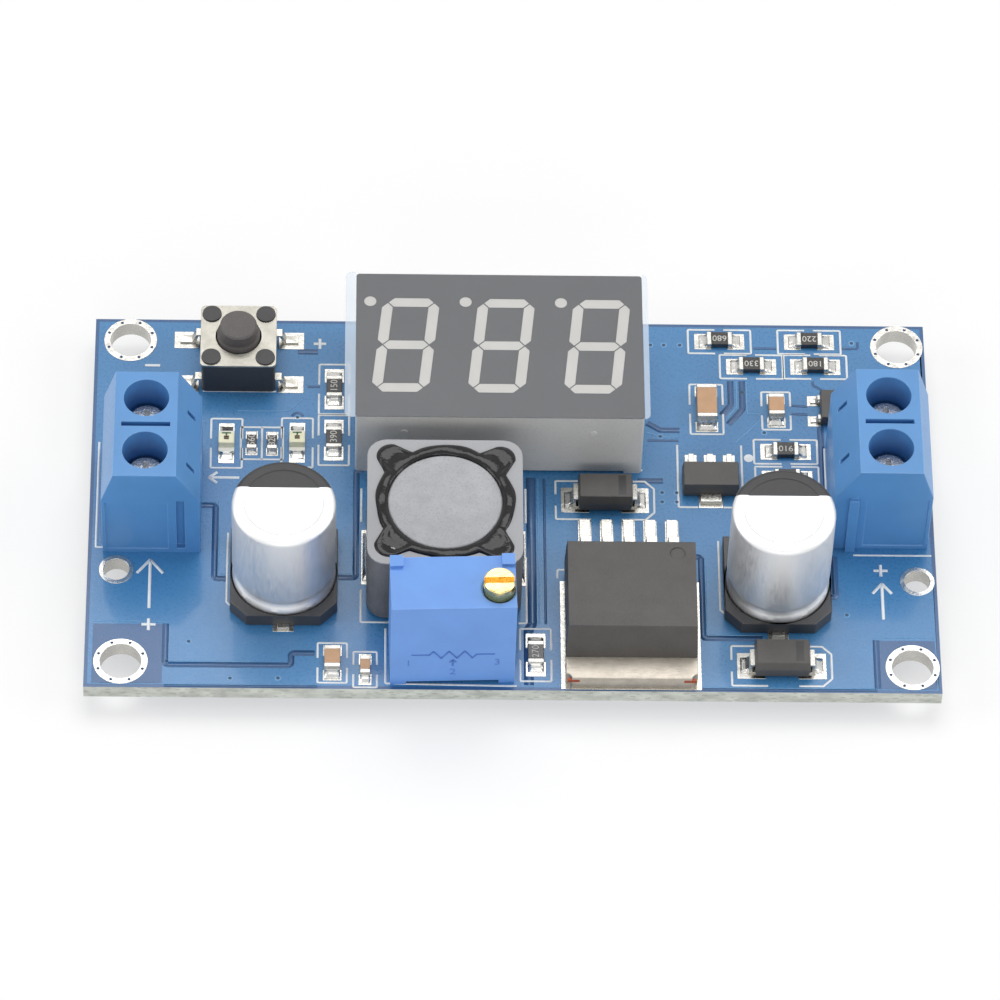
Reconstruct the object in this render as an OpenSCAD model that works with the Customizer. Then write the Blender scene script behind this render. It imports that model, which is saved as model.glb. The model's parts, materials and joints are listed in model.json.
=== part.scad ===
// Step-down converter module with screw terminals and a three-digit meter.
// Origin: middle of the four mounting holes, on the underside of the board.
// +X runs from the output end to the input end, +Y to the back edge, +Z up.
// Every part that stands on the board is drawn with z = 0 on the board's top.

/* [Board] */
// Length of the board, end to end
board_l = 66; // [65.6:0.1:70]
// Width of the board, front to back
board_w = 35.5; // [35.3:0.1:38]
// Thickness of the board
board_t = 1.3; // [1:0.1:1.8]
// Distance between the mounting holes along the board
hole_dx = 61; // [60.6:0.1:61.2]
// Distance between the mounting holes across the board
hole_dy = 31; // [30.8:0.1:31.2]
// Radius of a plated mounting hole
hole_r = 1.6; // [1.5:0.05:1.75]
// Width of the tinned ring round a mounting hole
ring_w = 0.5; // [0.35:0.05:0.6]
// Radius of the small plated hole for a soldered wire
wire_hole_r = 1; // [0.8:0.05:1.1]

// Width of the tinned ring round each wire hole
wire_ring_w = 0.35; // [0.2:0.05:0.6]
// Thickness of the tinned copper
tin_t = 0.05; // [0.03:0.01:0.08]
// How far the trimmed pins stand out under the board
pin_out = 1.8; // [1.5:0.1:2.5]

/* [Screw terminals] */
// Distance from one pole to the next
pole_pitch = 5; // [5:0.02:5.1]
// Depth of the moulding, wire side to back
term_d = 7.6; // [7.4:0.1:8]
// Height of the moulding
term_h = 10; // [9.6:0.1:10.6]
// Height of its shoulders
shoulder_h = 6.8; // [6.4:0.1:7.4]
// Depth of its flat top
term_top_d = 4.85; // [4.6:0.05:5.2]
// Radius of the hole over a screw
driver_hole_r = 1.75; // [1.7:0.05:1.9]
// Radius of a screw's head
head_r = 1.55; // [1.45:0.05:1.6]
// Height of a screw's head
head_h = 1.2; // [1:0.1:1.3]
// Radius of a screw's thread
screw_r = 1.2; // [1.1:0.05:1.25]
// Outer width of the wire clamp
clamp_w = 3.6; // [3.4:0.05:3.7]
// Thickness of the clamp's sides and floor
clamp_t = 0.5; // [0.4:0.05:0.55]
// Thickness of the clamp's threaded top
clamp_top_t = 0.8; // [0.7:0.05:0.9]
// How far the clamp rises when its screw is turned in
clamp_travel = 1.7; // [1.5:0.05:1.7]
// Thickness of the contact strip
strip_t = 0.35; // [0.3:0.05:0.4]
// Height of the wire entry, clamp floor to strip
entry_h = 2; // [1.95:0.05:2.1]

/* [Tact switch] */
// Width of the switch body
switch_w = 6; // [5.8:0.1:6.2]
// Height of the switch body, with its cover
switch_h = 3.5; // [3.3:0.1:3.8]
// Thickness of the metal cover
cover_t = 0.2; // [0.15:0.05:0.3]
// Height of the button's top over the board
button_top_h = 5; // [4.6:0.1:6]
// Radius of the button's top
button_r = 1.45; // [1.3:0.05:1.5]
// Travel of the button
button_travel = 0.25; // [0.2:0.05:0.3]

/* [Trimmer] */
// Length of the trimmer
trim_l = 9.53; // [9.4:0.05:9.8]
// Thickness of the trimmer
trim_w = 4.83; // [4.7:0.05:5.1]
// Height of the trimmer's case
trim_h = 10.03; // [9.8:0.05:10.4]
// Wall of the case
trim_wall = 0.7; // [0.6:0.05:0.75]
// Radius of the adjusting screw
adjust_r = 1.2; // [1.1:0.05:1.25]
// How far the adjusting screw stands out of the case
adjust_out = 1.1; // [0.8:0.1:1.5]
// Teeth of the wiper's wheel
wheel_teeth = 30; // [24:1:36]

/* [Inductor] */
// Length of the ferrite shield
coil_l = 12; // [11.6:0.1:12.2]
// Width of the ferrite shield
coil_w = 11.8; // [11.6:0.1:12]
// Height of the inductor
coil_h = 7.5; // [6.8:0.1:8]
// Radius of the bobbin's flanges
flange_r = 4.45; // [4.3:0.05:4.5]
// Radius of the shield's bore
shield_bore_r = 5.05; // [4.95:0.05:5.1]

/* [Regulator] */
// Width of the regulator's moulding
reg_w = 10.16; // [9.9:0.05:10.4]
// Height of the regulator's moulding
reg_h = 4.5; // [4.3:0.05:4.7]
// Depth of the moulding's flat top
reg_top_d = 7.94; // [7.7:0.05:8.2]
// Spacing of the five leads
reg_pitch = 1.7; // [1.65:0.01:1.75]
// Width of one lead
reg_lead_w = 0.85; // [0.7:0.05:0.95]
// Thickness of the copper tab
reg_tab_t = 1.27; // [1.1:0.01:1.35]

/* [Electrolytic capacitors] */
// Radius of the can
can_r = 4; // [3.9:0.05:4.05]
// Height of the can's top over the board
can_top_h = 10.5; // [9.5:0.1:12]
// Width of the plastic base
can_base_w = 8.3; // [8.2:0.05:8.5]
// Height of the base's corners
can_base_h = 1.3; // [1:0.1:1.6]

/* [Display] */
// Length of the display
disp_l = 22.5; // [22.3:0.1:22.7]
// Width of the display
disp_w = 14; // [13.8:0.1:14.2]
// Height of the display
disp_h = 7.2; // [6.8:0.1:7.6]
// Distance from one digit to the next
digit_pitch = 7.5; // [7.4:0.02:7.6]
// Height of a digit
digit_h = 9.2; // [9:0.1:9.4]
// Width of a digit
digit_w = 4.5; // [4.3:0.05:4.7]
// Width of one bar of a digit
bar_w = 0.85; // [0.7:0.05:0.95]
// Lean of the digits, in degrees
digit_lean = 5.8; // [4:0.2:8]
// How far the clear film stands out past the left side
film_over = 0.85; // [0.4:0.05:1]

/* [Small parts] */
// Length of a power diode's moulding
diode_l = 4.3; // [4.1:0.05:4.5]
// Width of a power diode's moulding
diode_w = 2.5; // [2.3:0.05:2.7]
// Height of a power diode
diode_h = 2.1; // [1.9:0.05:2.3]
// Length of a chip resistor
res_l = 2; // [1.9:0.05:2.1]
// Width of a chip resistor
res_w = 1.25; // [1.15:0.05:1.35]
// Thickness of a chip resistor
res_h = 0.5; // [0.4:0.05:0.6]
// Length of a small chip resistor
small_res_l = 1.6; // [1.5:0.05:1.7]
// Width of a small chip resistor
small_res_w = 0.8; // [0.7:0.05:0.9]
// Height of an indicator light
led_h = 0.8; // [0.7:0.05:1]

/* [Hidden] */
$fn = 48;
eps = 0.02;

// Places of the parts on the board, from the middle of the mounting holes
board_mid = [-0.3, -0.15];
output_wire_at = [-31.05, -6.86];
input_wire_at = [31.2, -7.37];
output_term_at = [-28.35, -0.15];
input_term_at = [28.3, 0.75];
switch_at = [-21.86, 13.38];
trimmer_at = [-5.08, -14.9];
trimmer_turn = 1.8;
inductor_at = [-5.65, -5.5];
regulator_at = [8.78, -10.93];
output_can_at = [-18.03, -7.87];
input_can_at = [20.21, -8.24];
catch_diode_at = [7, 0.16];
input_diode_at = [20.39, -15.46];
meter_reg_at = [15.33, 1.8];
transistor_at = [24.8, 9.05];
display_at = [-1.35, 9.84];
led_places = [[-22.71, 5.39], [-17.15, 5.5]];
// Chip resistors: place and turn
res_places = [
    [-14.27, 10.79, 90], [-14.27, 5.78, 90], [1.44, -14.61, 90],
    [16.37, 15.88, 0], [23.53, 15.9, 0], [18.85, 13.4, 0],
    [23.95, 13.43, 0], [21.33, 5.03, 0], [21.38, 2.4, 0]
];
small_res_places = [[-20.73, 5.41, 90], [-19.12, 5.38, 90]];
// Ceramic capacitors: place, then length, width and height
cap_places = [
    [15.18, 9.15, 3.2, 1.6, 1.25], [20.7, 9.05, 2, 1.25, 1],
    [-14.22, -15.5, 2, 1.25, 1], [-11.69, -16.1, 1.6, 0.8, 0.8]
];

// Screw terminal, seen with its wire side towards -X
poles = [-pole_pitch / 2, pole_pitch / 2];
term_l = 2 * pole_pitch;
term_back = term_d / 2;
screw_x = -0.4;
clamp_gap = 0.2;
clamp_floor_z = 0.3;
strip_z = clamp_floor_z + clamp_t + entry_h;
screw_tip_z = strip_z + strip_t + 0.1;
clamp_top_z = strip_z + strip_t + 0.15;
clamp_h = clamp_top_z + clamp_top_t - clamp_floor_z;
chamber_w = clamp_w + 2 * clamp_gap;
chamber_h = clamp_floor_z + clamp_h + clamp_travel + clamp_gap;
head_z = chamber_h;
strip_w = clamp_w - 2 * clamp_t - 0.5;
entry_w = strip_w + 0.4;
leg_w = 1;
leg_x = screw_x + chamber_w / 2 + 0.65;
leg_hole_r = 0.7;
rail_w = 0.8;
rail_out = 0.35;
rail_x = term_back - 1.5;

// Switch
switch_floor = 1.6;
dome_h = 0.3;
dome_r = 2;
flange_h = 0.9;
button_seat_z = switch_floor + 0.05 + dome_h + 0.05;
post_x = switch_w / 2 - 0.87;
post_r = 0.75;
switch_lead_y = 2.17;
switch_lead_w = 0.7;
switch_foot_x = 4.7;

// Trimmer
adjust_x = trim_l / 2 - 1.3;
adjust_y = -0.6;
worm_r = 1;
wheel_gap = 0.06;
trim_floor = 1.2;
wheel_r = 3.1;
wheel_x = adjust_x - worm_r - wheel_gap - wheel_r;
wheel_z = trim_floor + wheel_r + 0.5;
wheel_w = 1.1;
wheel_pin_r = 0.6;
trim_roof_z = trim_h - trim_wall;
element_t = 0.6;
element_y = trim_w / 2 - trim_wall - element_t;
trim_pin_pitch = 2.54;

// Inductor
clip_t = 0.25;
clip_w = 5.2;
bead_depth = 1.5;
lobe_r = 0.95;
lobe_at = 4.75;
flange_t = 1.6;
post_core_r = 2.3;
wire_r = 0.4;

// Regulator: its flat top is centred on regulator_at
reg_back_y = reg_top_d / 2;
reg_front_y = -reg_back_y - 0.75;
reg_tab_front = -6.67;
reg_lead_t = 0.4;
reg_lead_end = 8.98;

// Capacitors
can_floor = 0.5;
can_lead_w = 0.93;
can_lead_t = 0.25;

// Display
recess_h = 1.9;
recess_wall = 0.9;
disp_board_t = 0.6;
face_t = 0.06;
disp_pin_r = 0.25;
disp_pin_dy = 11.2;
disp_pin_pitch = 2.54;
dot_r = 0.48;
film_t = 0.08;
tssop = [6.5, 4.4, 0.95];

// Small parts
chip_end = 0.35;
pad_over = 1;
sot_lead_t = 0.2;

// Puts a part on the board's top
module on_board(place, turn = 0) {
    translate([place[0], place[1], board_t])
        rotate([0, 0, turn])
            children();
}

// Rectangle with rounded corners
module round_rect(l, w, r) {
    quarter = [[l / 2 - r, w / 2 - r, 0], [r - l / 2, w / 2 - r, 90],
               [r - l / 2, r - w / 2, 180], [l / 2 - r, r - w / 2, 270]];
    polygon([for (q = quarter) for (a = [0 : 18 : 90])
        [q[0] + r * cos(q[2] + a), q[1] + r * sin(q[2] + a)]]);
}

// Plate standing on z = 0
module plate(l, w, h, z = 0) {
    translate([-l / 2, -w / 2, z])
        cube([l, w, h]);
}

// Solid of one outline in the X-Z plane, as wide as w along Y
module side_form(w) {
    rotate([90, 0, 0])
        linear_extrude(w, center = true)
            children();
}

// Moulded package: its four sides lean in from a parting line
module moulding(l, w, h, part_z, lean) {
    intersection() {
        side_form(w)
            polygon([[lean - l / 2, 0], [l / 2 - lean, 0], [l / 2, part_z],
                     [l / 2 - lean, h], [lean - l / 2, h], [-l / 2, part_z]]);
        rotate([0, 0, 90])
            side_form(l)
                polygon([[lean - w / 2, 0], [w / 2 - lean, 0], [w / 2, part_z],
                         [w / 2 - lean, h], [lean - w / 2, h], [-w / 2, part_z]]);
    }
}

// Gull-wing lead along +X: leaves at height rise, bends at knee, ends at reach
module gull_lead(start, knee, reach, rise, t, w) {
    ankle = knee + rise * 0.35;
    side_form(w)
        polygon([[start, rise], [knee - t * 0.4, rise], [ankle - t * 0.4, 0], [reach, 0],
                 [reach, t], [ankle + t * 0.6, t], [knee + t * 0.6, rise + t],
                 [start, rise + t]]);
}

// Four corner places of a rectangle
module at_corners(dx, dy) {
    for (x = [-dx / 2, dx / 2])
        for (y = [-dy / 2, dy / 2])
            translate([x, y, 0])
                children();
}

module terminal_leg_places() {
    for (p = poles) {
        on_board(output_term_at)
            translate([leg_x, p, 0])
                children();
        on_board(input_term_at, 180)
            translate([leg_x, p, 0])
                children();
    }
}

module pin_places() {
    // the pins of both terminals, the display and the trimmer
    terminal_leg_places()
        children();
    on_board(display_at)
        display_pin_places()
            children();
    on_board(trimmer_at, trimmer_turn)
        trimmer_pin_places()
            children();
}

module board() {
    color("#3f7fb0")
    difference() {
        translate([board_mid[0], board_mid[1], 0])
            plate(board_l, board_w, board_t);
        at_corners(hole_dx, hole_dy)
            translate([0, 0, -1])
                cylinder(h = board_t + 2, r = hole_r + tin_t);
        for (p = [output_wire_at, input_wire_at])
            translate([p[0], p[1], -1])
                cylinder(h = board_t + 2, r = wire_hole_r);
        pin_places()
            translate([0, 0, -board_t - 1])
                cylinder(h = board_t + 2, r = leg_hole_r, $fn = 24);
    }
}

// Plated hole: a tinned barrel with a ring on each face of the board
module eyelet(r, ring) {
    difference() {
        union() {
            cylinder(h = board_t, r = r + tin_t);
            for (z = [-tin_t, board_t])
                translate([0, 0, z])
                    cylinder(h = tin_t, r = r + ring);
        }
        translate([0, 0, -1])
            cylinder(h = board_t + 2, r = r);
    }
}

// Flat tinned ring round a hole, lying on a face of the board
module flat_ring(r, ring, t) {
    difference() {
        cylinder(h = t, r = r + ring);
        translate([0, 0, -1])
            cylinder(h = t + 2, r = r);
    }
}

module mounting_rings() {
    color("gainsboro") {
        at_corners(hole_dx, hole_dy)
            eyelet(hole_r, ring_w);
        for (p = [output_wire_at, input_wire_at])
            for (z = [-tin_t, board_t])
                translate([p[0], p[1], z])
                    flat_ring(wire_hole_r, wire_ring_w, tin_t);
    }
}

// Pair of lands for a two-ended part: whole span along X and width
module land_pair(span, w, land_l) {
    for (s = [-1, 1])
        translate([s * (span - land_l) / 2, 0, 0])
            plate(land_l, w, tin_t);
}

module solder_pads() {
    color("gainsboro") {
        for (p = res_places)
            on_board(p, p[2])
                land_pair(res_l + 2 * pad_over, res_w + 0.3, pad_over + chip_end);
        for (p = small_res_places)
            on_board(p, p[2])
                land_pair(small_res_l + 0.75, small_res_w + 0.16, 0.75);
        for (p = led_places)
            on_board(p, 90)
                land_pair(3.9, res_w, pad_over + chip_end);
        for (c = cap_places)
            on_board(c, 90)
                land_pair(c[2] + 1.3, c[3] + 0.2, 0.65 + chip_end);
        on_board(switch_at)
            for (s = [-1, 1])
                for (y = [-switch_lead_y, switch_lead_y])
                    translate([s * 4.15, y, 0])
                        plate(2, 1.65, tin_t);
        for (p = [catch_diode_at, input_diode_at])
            on_board(p)
                land_pair(diode_l + 2.6, diode_w - 0.1, 2.2);
        on_board(inductor_at)
            land_pair(coil_l + 0.8, clip_w, 2.2);
        for (p = [output_can_at, input_can_at])
            on_board(p, 90)
                land_pair(can_base_w + 1.2, 1.6, 3);
        on_board(regulator_at) {
            translate([0, reg_tab_front + 4.9, 0])
                plate(reg_w + 0.67, 10.15, tin_t);
            for (i = [-2 : 2])
                translate([i * reg_pitch, reg_lead_end - 1.3, 0])
                    plate(1.05, 2.9, tin_t);
        }
        on_board(meter_reg_at) {
            for (i = [-1 : 1])
                translate([i * 1.5, 2.1, 0])
                    plate(0.95, 1.5, tin_t);
            translate([0, -1.4, 0])
                plate(1.9, 1.8, tin_t);
        }
        on_board(transistor_at) {
            for (y = [-1, 1])
                translate([-1.1, y, 0])
                    plate(1.05, 1, tin_t);
            translate([1.15, 0, 0])
                plate(1.05, 1, tin_t);
        }
        on_board(display_at)
            for (s = [-1, 1])
                for (i = [0 : 9])
                    translate([(i - 4.5) * 0.65, s * 3.05, 0])
                        plate(0.4, 1.5, tin_t);
    }
}

// Solder climbing the two ends of a part, hollow as solder is
module fillet_pair(l, w, h, out) {
    for (s = [0, 180])
        rotate([0, 0, s])
            translate([l / 2, 0, tin_t])
                side_form(w)
                    polygon([[0, 0], [out, 0], [out * 0.35, h * 0.3], [out * 0.12, h * 0.6],
                             [0, h]]);
}

module solder_fillets() {
    color("silver") {
        for (p = res_places)
            on_board(p, p[2])
                fillet_pair(res_l, res_w, res_h * 0.8, 0.65);
        for (p = small_res_places)
            on_board(p, p[2])
                fillet_pair(small_res_l, small_res_w, res_h * 0.7, 0.3);
        for (p = led_places)
            on_board(p, 90)
                fillet_pair(res_l, res_w - 0.2, 0.3, 0.6);
        for (c = cap_places)
            on_board(c, 90)
                fillet_pair(c[2], c[3], c[4] * 0.6, 0.5);
        for (p = [catch_diode_at, input_diode_at])
            on_board(p)
                fillet_pair(diode_l + 0.7, 1.5, 0.6, 0.7);
        on_board(inductor_at)
            fillet_pair(coil_l + 2 * eps, clip_w - 0.6, 1, 0.3);
    }
}

// Through-hole joints: solder fills the hole round a pin and cones under the board
module solder_joint() {
    difference() {
        translate([0, 0, -board_t]) {
            cylinder(h = board_t, r = leg_hole_r, $fn = 24);
            translate([0, 0, -tin_t])
                cylinder(h = tin_t, r = leg_hole_r + 0.35, $fn = 24);
            translate([0, 0, -tin_t - 0.9])
                cylinder(h = 0.9, r1 = 0.45, r2 = leg_hole_r + 0.25, $fn = 24);
        }
        children();
    }
}

module solder_joints() {
    color("silver") {
        terminal_leg_places()
            solder_joint()
                terminal_leg();
        on_board(display_at)
            display_pin_places()
                solder_joint()
                    display_pin();
        on_board(trimmer_at, trimmer_turn)
            trimmer_pin_places()
                solder_joint()
                    trimmer_pin();
    }
}

module terminal_housing() {
    top_x = screw_x + term_top_d / 2;
    slope = (term_h - shoulder_h) / (term_back - top_x);
    color("#5b9ad6")
    difference() {
        union() {
            side_form(term_l)
                polygon([[-term_back, 0], [term_back, 0], [term_back, shoulder_h],
                         [top_x, term_h], [top_x - term_top_d, term_h],
                         [-term_back, shoulder_h]]);
            // joining rail on the far end
            translate([rail_x, term_l / 2 - eps, 0])
                linear_extrude(shoulder_h - 0.1)
                    polygon([[-rail_w * 0.35, 0], [rail_w * 0.35, 0],
                             [rail_w / 2, rail_out + eps], [-rail_w / 2, rail_out + eps]]);
        }
        // groove that takes the next block's rail, on the near end
        translate([rail_x, -term_l / 2 - eps, 0.5])
            linear_extrude(shoulder_h - 0.6)
                polygon([[-rail_w / 2 + 0.1, 0], [rail_w / 2 - 0.1, 0],
                         [rail_w / 2 + 0.05, rail_out + 0.1],
                         [-rail_w / 2 - 0.05, rail_out + 0.1]]);
        // shallow panels on both ends
        for (s = [-1, 1])
            translate([screw_x - 0.7, s * (term_l / 2 + 0.4), 0.4])
                plate(4.8, 1, shoulder_h - 0.8);
        // slot between the poles
        translate([screw_x, 0, term_h - 1.2])
            plate(term_top_d * 0.78, 0.4, 2);
        for (p = poles)
            translate([0, p, 0]) {
                translate([screw_x, 0, chamber_h - eps])
                    cylinder(h = term_h, r = driver_hole_r);
                translate([screw_x, 0, 0])
                    plate(chamber_w, chamber_w, chamber_h + 1, -1);
                // wire entry with a sloping mouth
                translate([-term_back - 1, -entry_w / 2, clamp_floor_z + clamp_t])
                    cube([term_back, entry_w, entry_h]);
                wire_mouth();
                // way for the contact's leg
                translate([leg_x - 1.2, -strip_w / 2 - 0.1, -1])
                    cube([1.2 + strip_t / 2 + 0.1, strip_w + 0.2, strip_z + strip_t + 1.2]);
                // inspection slit in the back slope
                translate([top_x + 0.1, -0.3, term_h - 1.6])
                    rotate([0, atan(slope), 0])
                        translate([0.75, 0, 0.6])
                            plate(1.3, 0.36, 2.4, -1);
            }
    }
}

// Mouth of a wire entry: a frustum between two leaning pairs of walls
module wire_mouth() {
    mouth = 0.5;
    depth = 0.7;
    z0 = clamp_floor_z + clamp_t;
    intersection() {
        side_form(entry_w + 2 * mouth)
            polygon([[-term_back - eps, z0 - mouth], [-term_back + depth, z0],
                     [-term_back + depth, z0 + entry_h],
                     [-term_back - eps, z0 + entry_h + mouth]]);
        translate([0, 0, z0 - mouth])
            linear_extrude(entry_h + 2 * mouth)
                polygon([[-term_back - eps, -entry_w / 2 - mouth],
                         [-term_back + depth, -entry_w / 2],
                         [-term_back + depth, entry_w / 2],
                         [-term_back - eps, entry_w / 2 + mouth]]);
    }
}

module clamp_screw() {
    color("#d9d9d6")
    difference() {
        union() {
            translate([0, 0, screw_tip_z])
                cylinder(h = head_z - screw_tip_z + eps, r = screw_r);
            translate([0, 0, head_z])
                cylinder(h = head_h - 0.2, r = head_r);
            translate([0, 0, head_z + head_h - 0.2])
                cylinder(h = 0.2, r1 = head_r, r2 = head_r - 0.25);
        }
        for (a = [0, 90])
            rotate([0, 0, a])
                translate([0, 0, head_z + head_h - 0.6])
                    plate(a == 0 ? 2 * head_r + 1 : head_r * 1.2, 0.45, 1);
    }
}

module wire_clamp() {
    color("#c9cacb")
    difference() {
        plate(clamp_w, clamp_w, clamp_h, clamp_floor_z);
        plate(clamp_w + 1, clamp_w - 2 * clamp_t, clamp_top_z - clamp_floor_z - clamp_t,
              clamp_floor_z + clamp_t);
        translate([0, 0, clamp_top_z - 1])
            cylinder(h = clamp_h, r = screw_r + 0.05);
    }
}

module terminal_contact() {
    side_form(strip_w)
        polygon([[screw_x - clamp_w / 2, strip_z], [leg_x - strip_t / 2, strip_z],
                 [leg_x - strip_t / 2, 0.6], [leg_x + strip_t / 2, 0.6],
                 [leg_x + strip_t / 2, strip_z + strip_t],
                 [screw_x - clamp_w / 2, strip_z + strip_t]]);
    translate([leg_x, 0, 0])
        terminal_leg();
}

module terminal_leg() {
    plate(strip_t, leg_w, board_t + pin_out + 0.6 + eps, -board_t - pin_out);
}

module terminal_contacts() {
    color("#cfd0cf")
    for (p = poles)
        translate([0, p, 0])
            terminal_contact();
}

module at_output_pole(i) {
    on_board(output_term_at)
        translate([screw_x, poles[i], 0])
            children();
}

module at_input_pole(i) {
    on_board(input_term_at, 180)
        translate([screw_x, poles[i], 0])
            children();
}

module switch_base() {
    color("#464648")
    on_board(switch_at)
        difference() {
            union() {
                linear_extrude(switch_h - cover_t)
                    round_rect(switch_w - 0.2, switch_w - 0.2, 0.3);
                at_corners(2 * post_x, 2 * post_x)
                    cylinder(h = switch_h + 0.15, r = post_r);
            }
            translate([0, 0, switch_floor])
                cylinder(h = switch_h, r = dome_r + 0.15);
            switch_lead_set();
        }
}

module switch_cover() {
    color("#b9b7af")
    on_board(switch_at)
        difference() {
            translate([0, 0, switch_h - cover_t])
                linear_extrude(cover_t)
                    round_rect(switch_w, switch_w, 0.4);
            at_corners(2 * post_x, 2 * post_x)
                cylinder(h = switch_h + 1, r = post_r);
            cylinder(h = switch_h + 1, r = button_r + 0.35);
        }
}

module switch_button() {
    color("#5a5858")
    on_board(switch_at) {
        translate([0, 0, button_seat_z])
            cylinder(h = flange_h, r = dome_r);
        translate([0, 0, button_seat_z])
            cylinder(h = switch_h + 0.4 - button_seat_z, r = button_r + 0.25);
        translate([0, 0, switch_h])
            cylinder(h = button_top_h - switch_h - 0.12, r = button_r);
        translate([0, 0, button_top_h - 0.12 - eps])
            cylinder(h = 0.12 + eps, r1 = button_r, r2 = button_r - 0.12);
    }
}

module switch_dome() {
    // snap dome: part of a thin spherical shell
    ball_r = (dome_r * dome_r + dome_h * dome_h) / (2 * dome_h);
    color("silver")
    on_board(switch_at)
        translate([0, 0, switch_floor + 0.02])
            intersection() {
                cylinder(h = dome_h, r = dome_r);
                translate([0, 0, dome_h - ball_r])
                    difference() {
                        sphere(r = ball_r, $fn = 96);
                        sphere(r = ball_r - 0.08, $fn = 96);
                    }
            }
}

module switch_leads() {
    color("#d8d5c8")
    on_board(switch_at)
        switch_lead_set();
}

module switch_lead_set() {
    for (s = [0, 180])
        rotate([0, 0, s])
            for (y = [-switch_lead_y, switch_lead_y])
                translate([0, y, tin_t])
                    gull_lead(switch_w / 2 - 0.5, switch_w / 2 + 0.3, switch_foot_x,
                              0.9, 0.2, switch_lead_w);
}

module trimmer_pin_places() {
    for (i = [-1 : 1])
        translate([i * trim_pin_pitch, 0, 0])
            children();
}

module trimmer_case() {
    foot = 0.4;
    color("#5f97dd")
    on_board(trimmer_at, trimmer_turn)
        difference() {
            union() {
                plate(trim_l, trim_w, trim_h - foot, foot);
                // feet at both ends
                for (s = [-1, 1])
                    translate([s * (trim_l / 2 - 0.6), 0, 0])
                        plate(1.2, trim_w, foot + eps);
                // raised stops at the back of the top
                for (s = [-1, 1])
                    translate([s * (trim_l / 2 - 0.5), trim_w / 2 - 0.5, 0])
                        plate(1, 1, 0.35, trim_h - eps);
            }
            // inside, open downwards
            plate(trim_l - 2 * trim_wall, trim_w - 2 * trim_wall, trim_roof_z + 1, -1);
            translate([adjust_x, adjust_y, 0])
                cylinder(h = trim_h + 1, r = adjust_r + 0.05);
            // blind bearing of the wiper's wheel
            translate([wheel_x, trim_wall - trim_w / 2 + eps, wheel_z])
                rotate([90, 0, 0])
                    cylinder(h = trim_wall * 0.7, r = wheel_pin_r + 0.05);
            // shallow chamfer round the screw
            translate([adjust_x, adjust_y, trim_h - 0.2])
                cylinder(h = 0.2 + eps, r1 = adjust_r + 0.05, r2 = adjust_r + 0.25);
        }
}

module trimmer_screw() {
    color("#e0bd6a")
    on_board(trimmer_at, trimmer_turn)
        translate([adjust_x, adjust_y, 0])
            difference() {
                union() {
                    translate([0, 0, trim_floor + 0.5])
                        cylinder(h = trim_roof_z - trim_floor - 0.5, r = worm_r);
                    translate([0, 0, trim_roof_z - 0.65])
                        cylinder(h = 0.6, r = min(adjust_r + 0.2, trim_w / 2 - trim_wall + adjust_y - 0.05));
                    translate([0, 0, trim_roof_z - 0.1])
                        cylinder(h = trim_wall + adjust_out, r = adjust_r);
                    translate([0, 0, trim_roof_z - 0.1 + trim_wall + adjust_out - eps])
                        cylinder(h = 0.1 + eps, r1 = adjust_r, r2 = adjust_r - 0.1);
                }
                translate([0, 0, trim_h + adjust_out - 0.8])
                    plate(3 * adjust_r, 0.55, 2);
            }
}

module trimmer_wheel() {
    root_r = wheel_r - 0.35;
    pitch_a = 360 / wheel_teeth;
    color("#e8e6dc")
    on_board(trimmer_at, trimmer_turn)
        translate([wheel_x, adjust_y + wheel_w / 2, wheel_z])
            rotate([90, 0, 0]) {
                linear_extrude(wheel_w)
                    polygon([for (i = [0 : wheel_teeth - 1])
                        for (c = [[root_r, 0], [root_r, 0.4], [wheel_r, 0.55], [wheel_r, 0.85]])
                            [c[0] * cos((i + c[1]) * pitch_a), c[0] * sin((i + c[1]) * pitch_a)]]);
                // pin that turns in the case's bearing
                cylinder(h = trim_w / 2 - trim_wall + adjust_y + wheel_w / 2 + trim_wall * 0.6,
                         r = wheel_pin_r);
            }
}

module trimmer_element() {
    color("#f2efe6")
    on_board(trimmer_at, trimmer_turn)
        translate([0, element_y + element_t / 2 - 0.02, 0])
            plate(trim_l - 2 * trim_wall - 0.1, element_t, trim_roof_z - 0.6, 0.5);
}

module trimmer_pins() {
    color("gainsboro")
    on_board(trimmer_at, trimmer_turn)
        trimmer_pin_places() {
            trimmer_pin();
            // foot of the pin, crimped to the element's edge
            translate([0, element_y / 2, 0])
                plate(0.5, element_y, 0.2, 0.15);
            translate([0, element_y - 0.15, 0])
                plate(0.5, 0.25, 1.2, 0.15);
        }
}

module trimmer_pin() {
    plate(0.5, 0.5, board_t + pin_out + 0.35, -board_t - pin_out);
}

module shield_opening(depth) {
    // bore of the shield and its four glue pockets
    cylinder(h = depth, r = shield_bore_r, $fn = 96);
    for (a = [45 : 90 : 315])
        rotate([0, 0, a])
            translate([lobe_at, 0, 0])
                cylinder(h = depth, r = lobe_r);
}

module inductor_shield() {
    color("#565655")
    on_board(inductor_at)
        difference() {
            translate([0, 0, clip_t])
                linear_extrude(coil_h - clip_t)
                    round_rect(coil_l, coil_w, 1.5);
            cylinder(h = coil_h + 1, r = shield_bore_r, $fn = 96);
            translate([0, 0, coil_h - bead_depth])
                shield_opening(bead_depth + 1);
            // pockets for the terminal clips
            for (s = [-1, 1])
                translate([s * coil_l / 2, 0, 0])
                    plate(2 * clip_t, clip_w, 1.6);
        }
}

module inductor_core() {
    color("#8d8e90")
    on_board(inductor_at)
        rotate_extrude($fn = 96)
            polygon([[0, 0.45], [flange_r, 0.45], [flange_r, 0.45 + flange_t - 0.4],
                     [post_core_r, 0.45 + flange_t], [post_core_r, coil_h - flange_t],
                     [flange_r, coil_h - flange_t + 0.4], [flange_r, coil_h - 0.12],
                     [flange_r - 0.12, coil_h], [0, coil_h]]);
}

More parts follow.
